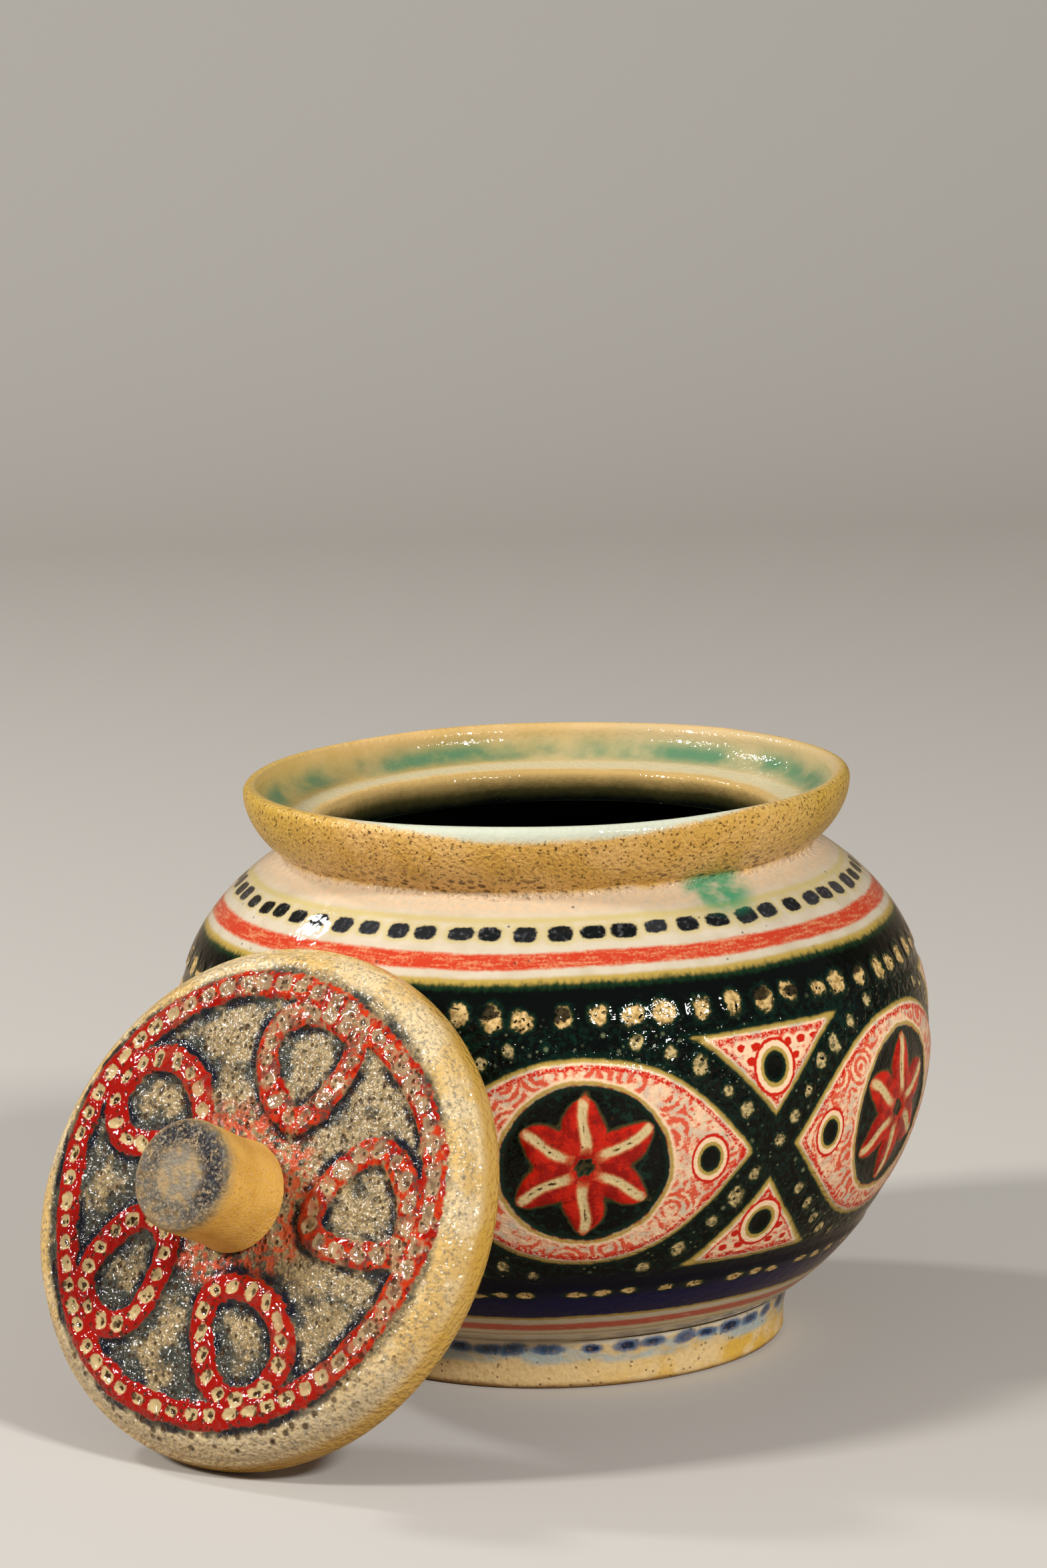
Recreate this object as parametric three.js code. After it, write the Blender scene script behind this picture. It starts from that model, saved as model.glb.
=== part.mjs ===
// Lidded stoneware sugar jar: a round-bellied jar with a flared collar, and its domed lid with a
// cylindrical knob. The lid is off and leans on its edge against the belly.
// Millimetres, +Z up. The origin is the centre of the foot's flat underside.

import * as THREE from 'three';

// Driving dimensions of the jar
const FOOT_RADIUS = 38.5;
const FOOT_HEIGHT = 8.5;
const FOOT_EDGE = 1.2;           // rounding between the underside and the side of the foot
const FOOT_FLARE = 1.0;          // how much wider the foot is where the bowl starts
const FLOOR_THICKNESS = 6.5;
const FLOOR_ROUND = 6;           // rounding between the floor and the wall, across
const BELLY_RADIUS = 65;
const BELLY_HEIGHT = 52;         // level of the widest place
const WALL = 5;                  // at the belly
const LOW_WALL = 8;              // where the bowl stands on the foot
const NECK_RADIUS = 45.5;        // crease between the bowl and the collar
const NECK_HEIGHT = 86;
const THROAT_RADIUS = 38.5;
const LIP_RADIUS = 52;
const LIP_THICKNESS = 3.4;
const COLLAR_HEIGHT = 12.2;
const LEDGE_ABOVE_NECK = 5.6;    // gallery ledge that the lid sits on, at the throat edge
const LEDGE_RISE = 0.9;          // the ledge climbs this much towards the gallery wall
const THROAT_EDGE = 1.4;         // rounding of the throat's edge

// Driving dimensions of the lid, measured from its flat seat upwards
const LID_RADIUS = 43;
const LID_CLEARANCE = 1.6;       // between the lid's edge and the gallery wall
const LID_SEAT_WIDTH = 6;        // flat ring that rests on the ledge
const LID_HOLLOW_DEPTH = 4;      // hollow of the underside inside the seat
const LID_HOLLOW_ROUND = 10;     // rounding from the hollow to the seat, across
const LID_LOWER_ROUND = 2.8;     // rounding under the edge, across
const LID_LOWER_RISE = 3.4;      // and up
const LID_SIDE_HEIGHT = 4.2;     // top of the upright part of the edge
const LID_SHOULDER = 4.6;        // rounding from the edge to the dome, across
const LID_DOME_EDGE = 11.5;      // height of the dome where the shoulder ends
const LID_DOME_TOP = 13;         // height of the dome at the knob

// Driving dimensions of the knob
const KNOB_BASE_RADIUS = 9.4;
const KNOB_RADIUS = 9.3;
const KNOB_WAIST = 0.6;          // how much the side draws in above the base
const KNOB_HEIGHT = 16.4;
const KNOB_TOP_ROUND = 1.5;
const KNOB_CROWN = 0.4;          // how far the top of the knob bulges

// How the lid leans against the jar
const LEAN = 64.4;               // degrees between the lid's axis and the vertical
const LID_SIDE_SHIFT = -1.5;     // how far the lid stands to one side of the jar's middle
const PIECE_GAP = 0.3;           // between turned pieces, and between the lid and the belly
const TABLE_GAP = 0.1;           // between the lid's edge and the table

// Facets
const JAR_SEGMENTS = 60;
const LID_SEGMENTS = 60;
const KNOB_SEGMENTS = 36;
const BELLY_STEPS = 8;
const COLLAR_STEPS = 6;
const EDGE_STEPS = 4;
const DOME_STEPS = 6;

// A cubic curve from one (radius, height) point to another, without its first point
function curve(start, startHandle, endHandle, end, steps) {
  const bezier = new THREE.CubicBezierCurve(
    new THREE.Vector2(...start),
    new THREE.Vector2(...startHandle),
    new THREE.Vector2(...endHandle),
    new THREE.Vector2(...end),
  );
  return bezier.getPoints(steps).slice(1).map((point) => [point.x, point.y]);
}

// A quarter round from one point to another, leaving in the given direction
function quarter(start, end, leavesAcross, steps = EDGE_STEPS) {
  const handle = 0.55;           // makes a cubic curve lie on a circle
  const across = end[0] - start[0];
  const up = end[1] - start[1];
  const startHandle = leavesAcross
    ? [start[0] + handle * across, start[1]]
    : [start[0], start[1] + handle * up];
  const endHandle = leavesAcross
    ? [end[0], end[1] - handle * up]
    : [end[0] - handle * across, end[1]];
  return curve(start, startHandle, endHandle, end, steps);
}

// The turned form of a closed (radius, height) outline, about the vertical axis
function turned(name, outline, segments, colour, roughness) {
  const points = outline.map(([radius, height]) => new THREE.Vector2(radius, height));
  const geometry = new THREE.LatheGeometry(points, segments);
  geometry.rotateX(Math.PI / 2);
  const material = new THREE.MeshStandardMaterial({ color: colour, roughness, metalness: 0 });
  const mesh = new THREE.Mesh(geometry, material);
  mesh.name = name;
  return mesh;
}

// The side of the bowl from its lower edge to the widest place.
// The shares set how full the curve is.
function lowerSide(lowRadius, wideRadius) {
  const rise = BELLY_HEIGHT - FOOT_HEIGHT;
  const growth = wideRadius - lowRadius;
  const start = [lowRadius, FOOT_HEIGHT];
  return [start, ...curve(
    start,
    [lowRadius + 0.49 * growth, FOOT_HEIGHT + 0.15 * rise],
    [wideRadius, BELLY_HEIGHT - 0.41 * rise],
    [wideRadius, BELLY_HEIGHT],
    BELLY_STEPS,
  )];
}

// The side of the bowl from the widest place to the neck
function upperSide(wideRadius, topRadius) {
  const rise = NECK_HEIGHT - BELLY_HEIGHT;
  const growth = wideRadius - topRadius;
  const start = [wideRadius, BELLY_HEIGHT];
  return [start, ...curve(
    start,
    [wideRadius, BELLY_HEIGHT + 0.41 * rise],
    [topRadius + 0.77 * growth, NECK_HEIGHT - 0.265 * rise],
    [topRadius, NECK_HEIGHT],
    BELLY_STEPS,
  )];
}

const bowlLowRadius = FOOT_RADIUS + FOOT_FLARE;
const lowerOutside = lowerSide(bowlLowRadius, BELLY_RADIUS);
const upperOutside = upperSide(BELLY_RADIUS, NECK_RADIUS);
const bowlOutside = [...lowerOutside, ...upperOutside.slice(1)];

// The foot: a solid disc with a flat underside, dished on top to make the jar's floor
function makeFoot() {
  const wellRadius = bowlLowRadius - LOW_WALL;
  const outline = [
    [0, 0],
    [FOOT_RADIUS - FOOT_EDGE, 0],
    ...quarter([FOOT_RADIUS - FOOT_EDGE, 0], [FOOT_RADIUS, FOOT_EDGE], true),
    ...curve(
      [FOOT_RADIUS, FOOT_EDGE],
      [FOOT_RADIUS, FOOT_HEIGHT / 2],
      [FOOT_RADIUS, FOOT_HEIGHT / 2],
      [bowlLowRadius, FOOT_HEIGHT],
      EDGE_STEPS,
    ),
    [wellRadius, FOOT_HEIGHT],
    ...quarter([wellRadius, FOOT_HEIGHT], [wellRadius - FLOOR_ROUND, FLOOR_THICKNESS], false),
    [0, FLOOR_THICKNESS],
  ];
  return turned('foot', outline, JAR_SEGMENTS, 0xc9b78a, 0.45);
}

// One half of the bowl: a ring wall between an outside and an inside curve
function makeBowlHalf(name, outside, inside) {
  const outline = [...outside, ...inside.reverse(), outside[0]];
  return turned(name, outline, JAR_SEGMENTS, 0x2a3a2e, 0.2);
}

// The bowl: two halves that meet at the widest place, open below on the foot and above at the neck
function makeBowl() {
  const lowerInside = lowerSide(bowlLowRadius - LOW_WALL, BELLY_RADIUS - WALL);
  const upperInside = upperSide(BELLY_RADIUS - WALL, THROAT_RADIUS);
  return [
    makeBowlHalf('bowl_lower', lowerOutside, lowerInside),
    makeBowlHalf('bowl_upper', upperOutside, upperInside),
  ];
}

// The collar: flares from the neck to a rounded lip, with a gallery inside for the lid
function makeCollar() {
  const lipRound = LIP_THICKNESS / 2;
  const lipTop = NECK_HEIGHT + COLLAR_HEIGHT;
  const lipLevel = lipTop - lipRound;
  const lipMiddle = LIP_RADIUS - lipRound;
  const lipInside = LIP_RADIUS - LIP_THICKNESS;
  const flare = LIP_RADIUS - NECK_RADIUS;
  const rise = lipLevel - NECK_HEIGHT;
  const galleryRadius = LID_RADIUS + LID_CLEARANCE;
  const ledgeLevel = NECK_HEIGHT + LEDGE_ABOVE_NECK;
  const galleryLevel = ledgeLevel + LEDGE_RISE;
  const galleryDepth = lipLevel - galleryLevel;
  const ledgeStart = THROAT_RADIUS + THROAT_EDGE;
  const outline = [
    [NECK_RADIUS, NECK_HEIGHT],
    ...curve(
      [NECK_RADIUS, NECK_HEIGHT],
      [NECK_RADIUS + 0.6 * flare, NECK_HEIGHT + 0.24 * rise],
      [LIP_RADIUS, NECK_HEIGHT + 0.65 * rise],
      [LIP_RADIUS, lipLevel],
      COLLAR_STEPS,
    ),
    ...quarter([LIP_RADIUS, lipLevel], [lipMiddle, lipTop], false),
    ...quarter([lipMiddle, lipTop], [lipInside, lipLevel], true),
    ...curve(
      [lipInside, lipLevel],
      [lipInside, lipLevel - 0.5 * galleryDepth],
      [galleryRadius + 0.3 * (lipInside - galleryRadius), galleryLevel],
      [galleryRadius, galleryLevel],
      EDGE_STEPS,
    ),
    [ledgeStart, ledgeLevel],
    ...quarter([ledgeStart, ledgeLevel], [THROAT_RADIUS, ledgeLevel - THROAT_EDGE], true),
    [THROAT_RADIUS, NECK_HEIGHT],
    [NECK_RADIUS, NECK_HEIGHT],
  ];
  return turned('collar', outline, JAR_SEGMENTS, 0xb08a45, 0.35);
}

// The lid's outline in two runs: the hollow, the seat ring and the rounding under the edge,
// then up the side and over the shoulder
const lidSeatOutside = LID_RADIUS - LID_LOWER_ROUND;
const lidSeatInside = lidSeatOutside - LID_SEAT_WIDTH;
const lidHollowFlat = lidSeatInside - LID_HOLLOW_ROUND;
const lidUnderside = [
  [0, LID_HOLLOW_DEPTH],
  [lidHollowFlat, LID_HOLLOW_DEPTH],
  ...quarter([lidHollowFlat, LID_HOLLOW_DEPTH], [lidSeatInside, 0], true),
  [lidSeatOutside, 0],
  ...quarter([lidSeatOutside, 0], [LID_RADIUS, LID_LOWER_RISE], true),
];
const lidShoulder = [
  [LID_RADIUS, LID_SIDE_HEIGHT],
  ...quarter([LID_RADIUS, LID_SIDE_HEIGHT], [LID_RADIUS - LID_SHOULDER, LID_DOME_EDGE], false),
];

// The lid: a domed disc with a broad rounded edge, a flat ring seat and a hollow underside
function makeLidPlate() {
  const domeRadius = LID_RADIUS - LID_SHOULDER;
  const domeWidth = domeRadius - KNOB_BASE_RADIUS;
  const domeRise = LID_DOME_TOP - LID_DOME_EDGE;
  const outline = [
    ...lidUnderside,
    ...lidShoulder,
    ...curve(
      [domeRadius, LID_DOME_EDGE],
      [domeRadius - 0.3 * domeWidth, LID_DOME_EDGE + 0.65 * domeRise],
      [domeRadius - 0.6 * domeWidth, LID_DOME_TOP],
      [KNOB_BASE_RADIUS, LID_DOME_TOP],
      DOME_STEPS,
    ),
    [0, LID_DOME_TOP],
  ];
  return turned('lid_plate', outline, LID_SEGMENTS, 0xa98d5a, 0.4);
}

// The knob: a stub cylinder, a little drawn in above its base, with a rounded top edge
function makeLidKnob() {
  const base = LID_DOME_TOP + PIECE_GAP;
  const top = LID_DOME_TOP + KNOB_HEIGHT;
  const crownStart = top - KNOB_CROWN;
  const outline = [
    [0, base],
    [KNOB_BASE_RADIUS, base],
    ...curve(
      [KNOB_BASE_RADIUS, base],
      [KNOB_BASE_RADIUS - KNOB_WAIST, base + 0.25 * KNOB_HEIGHT],
      [KNOB_RADIUS, base + 0.5 * KNOB_HEIGHT],
      [KNOB_RADIUS, crownStart - KNOB_TOP_ROUND],
      EDGE_STEPS,
    ),
    ...quarter(
      [KNOB_RADIUS, crownStart - KNOB_TOP_ROUND],
      [KNOB_RADIUS - KNOB_TOP_ROUND, crownStart],
      false,
    ),
    [0, top],
  ];
  return turned('lid_knob', outline, KNOB_SEGMENTS, 0xb8923f, 0.6);
}

// The bowl's outside radius at a height, zero above and below the bowl
function bowlRadiusAt(height) {
  const upper = bowlOutside.findIndex((point) => point[1] >= height);
  if (upper < 1) {
    return 0;
  }
  const [lowRadius, lowHeight] = bowlOutside[upper - 1];
  const [topRadius, topHeight] = bowlOutside[upper];
  const share = (height - lowHeight) / (topHeight - lowHeight);
  return lowRadius + share * (topRadius - lowRadius);
}

// Points close together along an outline, to find where it touches
function walked(outline) {
  const pointsBetween = 20;
  return outline.slice(1).flatMap((end, index) => {
    const start = outline[index];
    return Array.from({ length: pointsBetween + 1 }, (_, step) => {
      const share = step / pointsBetween;
      return [start[0] + share * (end[0] - start[0]), start[1] + share * (end[1] - start[1])];
    });
  });
}

// The lid's group stands the lid on its edge and leans its underside against the belly.
// The lid faces -Y, its axis tilted from the vertical by the lean.
function makeLid() {
  const tilt = THREE.MathUtils.degToRad(LEAN);
  const across = Math.sin(tilt);
  const up = Math.cos(tilt);
  const edge = [...lidUnderside, ...lidShoulder];
  const depthBelow = Math.max(...edge.map(([radius, height]) => radius * across - height * up));
  const middleHeight = depthBelow + TABLE_GAP;
  const bellyReach = walked(lidUnderside).map(([radius, height]) => {
    const level = middleHeight + radius * across + height * up;
    return bowlRadiusAt(level) + radius * up - height * across;
  });
  const middleDistance = Math.max(...bellyReach) + PIECE_GAP / across;
  const lid = new THREE.Group();
  lid.add(makeLidPlate());
  lid.add(makeLidKnob());
  lid.rotation.x = tilt;
  lid.position.set(LID_SIDE_SHIFT, -middleDistance, middleHeight);
  return lid;
}

const sugarJar = new THREE.Group();
sugarJar.add(makeFoot());
sugarJar.add(...makeBowl());
sugarJar.add(makeCollar());
sugarJar.add(makeLid());

export default sugarJar;
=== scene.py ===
# A hand-painted stoneware sugar jar with its lid leaning against it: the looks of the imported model.
# Sizes are millimetres until a mesh is made, but metres for the stage and the lamps. The jar stands
# on the origin, +Z up.

import math

import bpy
import numpy as np
from mathutils import Matrix, Vector


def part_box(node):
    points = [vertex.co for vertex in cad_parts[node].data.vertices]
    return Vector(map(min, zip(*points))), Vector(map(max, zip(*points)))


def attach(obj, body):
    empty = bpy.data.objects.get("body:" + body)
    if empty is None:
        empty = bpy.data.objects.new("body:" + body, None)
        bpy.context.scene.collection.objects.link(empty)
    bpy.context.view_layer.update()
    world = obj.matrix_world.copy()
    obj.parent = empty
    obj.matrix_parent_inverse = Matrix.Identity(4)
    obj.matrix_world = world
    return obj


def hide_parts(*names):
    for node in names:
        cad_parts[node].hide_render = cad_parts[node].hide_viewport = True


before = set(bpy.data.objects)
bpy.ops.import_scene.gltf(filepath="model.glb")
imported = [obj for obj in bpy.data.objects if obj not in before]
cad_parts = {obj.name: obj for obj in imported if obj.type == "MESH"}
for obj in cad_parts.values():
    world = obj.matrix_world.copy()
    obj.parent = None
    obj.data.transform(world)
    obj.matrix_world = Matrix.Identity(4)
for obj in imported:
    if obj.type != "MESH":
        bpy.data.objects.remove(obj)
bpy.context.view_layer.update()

MM = 0.001
TURN = 2 * math.pi
COLUMNS = 720                            # round the bowl, the collar and the lid
FOOT_COLUMNS = 480
KNOB_COLUMNS = 300
POLE_RADIUS = 0.4                        # of the small caps where an outline starts and ends at the axis
rng = np.random.default_rng(7)


# Sizes

def box_mm(node):
    low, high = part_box(node)
    return np.array(low) / MM, np.array(high) / MM


foot_top = box_mm("foot")[1]
lower_top = box_mm("bowl_lower")[1]
collar_top = box_mm("collar")[1]
plate_low, plate_high = box_mm("lid_plate")

FOOT_HEIGHT = foot_top[2]
BELLY_RADIUS = lower_top[0]
BELLY_HEIGHT = lower_top[2]
NECK_HEIGHT = box_mm("bowl_upper")[1][2]
LIP_TOP = collar_top[2]
LIP_RADIUS = collar_top[0]
LID_RADIUS = (plate_high[0] - plate_low[0]) / 2

FOOT_RADIUS = 38.5
FOOT_EDGE = 1.2
BOWL_LOW_RADIUS = foot_top[0]
FLOOR_THICKNESS = 6.5
FLOOR_ROUND = 6.0
WALL = 5.0
LOW_WALL = 8.0
WELL_RADIUS = BOWL_LOW_RADIUS - LOW_WALL
NECK_RADIUS = 45.5
THROAT_RADIUS = 38.5
LIP_THICKNESS = 3.4
LEDGE_LEVEL = NECK_HEIGHT + 5.6
LEDGE_RISE = 0.9
THROAT_EDGE = 1.4
GALLERY_RADIUS = LID_RADIUS + 1.6

LID_SEAT_OUTSIDE = LID_RADIUS - 2.8
LID_SEAT_INSIDE = LID_SEAT_OUTSIDE - 6.0
LID_HOLLOW_FLAT = LID_SEAT_INSIDE - 10.0
LID_HOLLOW_DEPTH = 4.0
LID_LOWER_RISE = 3.4
LID_SIDE_HEIGHT = 4.2
LID_DOME_RADIUS = LID_RADIUS - 4.6
LID_DOME_EDGE = 11.5
LID_DOME_TOP = 13.0
LEAN = math.radians(64.4)

KNOB_BASE_RADIUS = 9.4
KNOB_RADIUS = 9.3
KNOB_WAIST = 0.6
KNOB_HEIGHT = 16.4
KNOB_TOP_ROUND = 1.5
KNOB_CROWN = 0.4
KNOB_POLE_RADIUS = 0.3
KNOB_TOP_LEVEL = LID_DOME_TOP + KNOB_HEIGHT - KNOB_CROWN
PIECE_GAP = 0.3                          # between the knob and the lid plate, as packed


# Outlines

def curve(start, start_handle, end_handle, end, steps=40):
    share = np.linspace(0, 1, steps + 1)[:, None]
    rest = 1 - share
    corners = [np.array(point, float) for point in (start, start_handle, end_handle, end)]
    return (
        rest**3 * corners[0]
        + 3 * rest**2 * share * corners[1]
        + 3 * rest * share**2 * corners[2]
        + share**3 * corners[3]
    )


def quarter(start, end, leaves_across):
    """A quarter round between two points, leaving the first one across or upwards"""
    handle = 0.55
    across = end[0] - start[0]
    up = end[1] - start[1]
    if leaves_across:
        handles = (start[0] + handle * across, start[1]), (end[0], end[1] - handle * up)
    else:
        handles = (start[0], start[1] + handle * up), (end[0] - handle * across, end[1])
    return curve(start, *handles, end)


def spaced(run, step):
    """The same run with its points an even step apart"""
    run = np.array(run, float)
    walked = np.concatenate([[0], np.cumsum(np.hypot(*np.diff(run, axis=0).T))])
    count = max(2, round(walked[-1] / step) + 1)
    even = np.linspace(0, walked[-1], count)
    return np.stack([np.interp(even, walked, run[:, axis]) for axis in (0, 1)], axis=1)


def joined(*runs):
    """Runs end to end, each without the point that the one before ended on"""
    return np.concatenate([runs[0]] + [run[1:] for run in runs[1:]])


def lower_side(low_radius, wide_radius):
    rise = BELLY_HEIGHT - FOOT_HEIGHT
    growth = wide_radius - low_radius
    return curve(
        (low_radius, FOOT_HEIGHT),
        (low_radius + 0.49 * growth, FOOT_HEIGHT + 0.15 * rise),
        (wide_radius, BELLY_HEIGHT - 0.41 * rise),
        (wide_radius, BELLY_HEIGHT),
    )


def upper_side(wide_radius, top_radius):
    rise = NECK_HEIGHT - BELLY_HEIGHT
    growth = wide_radius - top_radius
    return curve(
        (wide_radius, BELLY_HEIGHT),
        (wide_radius, BELLY_HEIGHT + 0.41 * rise),
        (top_radius + 0.77 * growth, NECK_HEIGHT - 0.265 * rise),
        (top_radius, NECK_HEIGHT),
    )


# Turned bodies

class Turned:
    """A body turned about Z from an outline of (radius, height) points, with relief and painted fields.

    Rows follow the outline and columns the angle. A field is a number at each vertex that the
    material reads: a spot's field is 1 at its middle, 0 at its edge and below 0 outside.
    """

    def __init__(self, outline, columns, loops):
        self.radius, self.height = np.array(outline, float).T
        self.loops = loops
        self.walked = np.concatenate([[0], np.cumsum(np.hypot(*np.diff(outline, axis=0).T))])
        self.angle = np.arange(columns) * TURN / columns
        self.shape = (len(self.radius), columns)
        self.lift = np.zeros(self.shape)
        self.fields = {}

    def grid(self, row_values):
        return np.repeat(np.asarray(row_values, float)[:, None], self.shape[1], axis=1)

    def field(self, name, value=-1.0):
        if name not in self.fields:
            self.fields[name] = np.full(self.shape, value)
        return self.fields[name]

    def near(self, angle, walked, reach):
        """The vertices about a place, and how far across and along each one lies from it"""
        rows = np.nonzero(abs(self.walked - walked) < reach)[0]
        off = (self.angle - angle + math.pi) % TURN - math.pi
        radius = max(np.interp(walked, self.walked, self.radius), 1.0)
        columns = np.nonzero(abs(off) * radius < 1.3 * reach)[0]
        across = off[columns][None, :] * self.radius[rows][:, None]
        along = np.repeat((self.walked[rows] - walked)[:, None], len(columns), axis=1)
        return np.ix_(rows, columns), across, along

    def walked_at(self, height):
        """How far along the outline its outside reaches a height"""
        top = int(np.argmax(self.height)) + 1
        return float(np.interp(height, self.height[:top], self.walked[:top]))

    def walked_at_radius(self, radius, first):
        """How far along the outline its top, which starts at row first, reaches a radius"""
        return float(np.interp(radius, self.radius[first:][::-1], self.walked[first:][::-1]))

    def spot(
        self, name, angle, walked, half_width, half_length,
        turned=0.0, depth=0.0, power=2.0, tone=None,
    ):
        """Paints an oval dab into a field, and presses it in by a depth.

        A greater power makes it squarer. A tone, 0 to 1, tells one dab from the next.
        """
        place, across, along = self.near(angle, walked, 2 * max(half_width, half_length) + 0.5)
        cos, sin = math.cos(turned), math.sin(turned)
        u = abs(across * cos + along * sin) / half_width
        v = abs(along * cos - across * sin) / half_length
        value = np.maximum(1 - (u**power + v**power) ** (1 / power), -1)
        field = self.field(name)
        closer = value > field[place]
        field[place] = np.where(closer, value, field[place])
        if tone is not None:
            tones = self.field(name + "_tone", 0.0)
            tones[place] = np.where(closer, tone, tones[place])
        self.lift[place] -= depth * np.clip(1.4 * value, 0, 1) ** 0.7

    def make(self, name, place=lambda points: points):
        """The mesh object, with each vertex moved outwards by its lift"""
        step_radius = np.gradient(self.radius)
        step_height = np.gradient(self.height)
        length = np.maximum(np.hypot(step_radius, step_height), 1e-9)
        out_radius = self.grid(step_height / length)
        out_height = self.grid(-step_radius / length)
        radius = np.maximum(self.grid(self.radius) + self.lift * out_radius, 0)
        height = self.grid(self.height) + self.lift * out_height
        local = np.stack([radius * np.cos(self.angle), radius * np.sin(self.angle), height], axis=2)
        points = place(local.reshape(-1, 3)) * MM
        mesh = bpy.data.meshes.new(name)
        mesh.from_pydata(points.tolist(), [], self.faces())
        self.field("walked")[:] = self.walked[:, None]
        for field, values in self.fields.items():
            stored = mesh.attributes.new(field, "FLOAT", "POINT")
            stored.data.foreach_set("value", values.astype(np.float32).ravel())
        turned_place = mesh.attributes.new("turned_place", "FLOAT_VECTOR", "POINT")
        turned_place.data.foreach_set("vector", local.astype(np.float32).ravel())
        mesh.polygons.foreach_set("use_smooth", [True] * len(mesh.polygons))
        mesh.set_sharp_from_angle(angle=math.radians(55))
        piece = bpy.data.objects.new(name, mesh)
        bpy.context.scene.collection.objects.link(piece)
        return piece

    def faces(self):
        """Quads between neighbouring rows, and a many-sided cap at each end of an open outline"""
        rows, columns = self.shape
        index = np.arange(rows * columns).reshape(rows, columns)
        low = index if self.loops else index[:-1]
        high = np.roll(index, -1, axis=0) if self.loops else index[1:]
        quads = np.stack([low, np.roll(low, -1, axis=1), np.roll(high, -1, axis=1), high], axis=2)
        faces = quads.reshape(-1, 4).tolist()
        if not self.loops:
            faces.append(index[0][::-1].tolist())
            faces.append(index[-1].tolist())
        return faces


# Node trees

def colour(*channels):
    """A screen colour, 0 to 255 a channel, as the linear one that a shader takes"""
    linear = [((c / 255 + 0.055) / 1.055) ** 2.4 if c > 10 else c / 255 / 12.92 for c in channels]
    return (*linear, 1.0)


class Value:
    """One output of a node, mostly a number that varies over a surface

    Sums and products of values are nodes too.
    """

    def __init__(self, paint, socket):
        self.paint = paint
        self.socket = socket

    def __add__(self, other):
        return self.paint.math("ADD", self, other)

    def __sub__(self, other):
        return self.paint.math("SUBTRACT", self, other)

    def __rsub__(self, other):
        return self.paint.math("SUBTRACT", other, self)

    def __mul__(self, other):
        return self.paint.math("MULTIPLY", self, other)

    def __abs__(self):
        return self.paint.math("ABSOLUTE", self)

    __radd__ = __add__
    __rmul__ = __mul__

    def rise(self, low, high):
        """0 below low, 1 above high, and smooth between; low may be the greater"""
        ends = (0.0, 1.0) if low < high else (1.0, 0.0)
        given = {
            "Value": self, "From Min": min(low, high), "From Max": max(low, high),
            "To Min": ends[0], "To Max": ends[1],
        }
        return self.paint.value("MapRange", "Result", given, interpolation_type="SMOOTHSTEP")

    def within(self, low, high, soft):
        """1 between two levels, fading over soft at each"""
        return self.rise(low - soft, low + soft) * self.rise(high + soft, high - soft)


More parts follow.
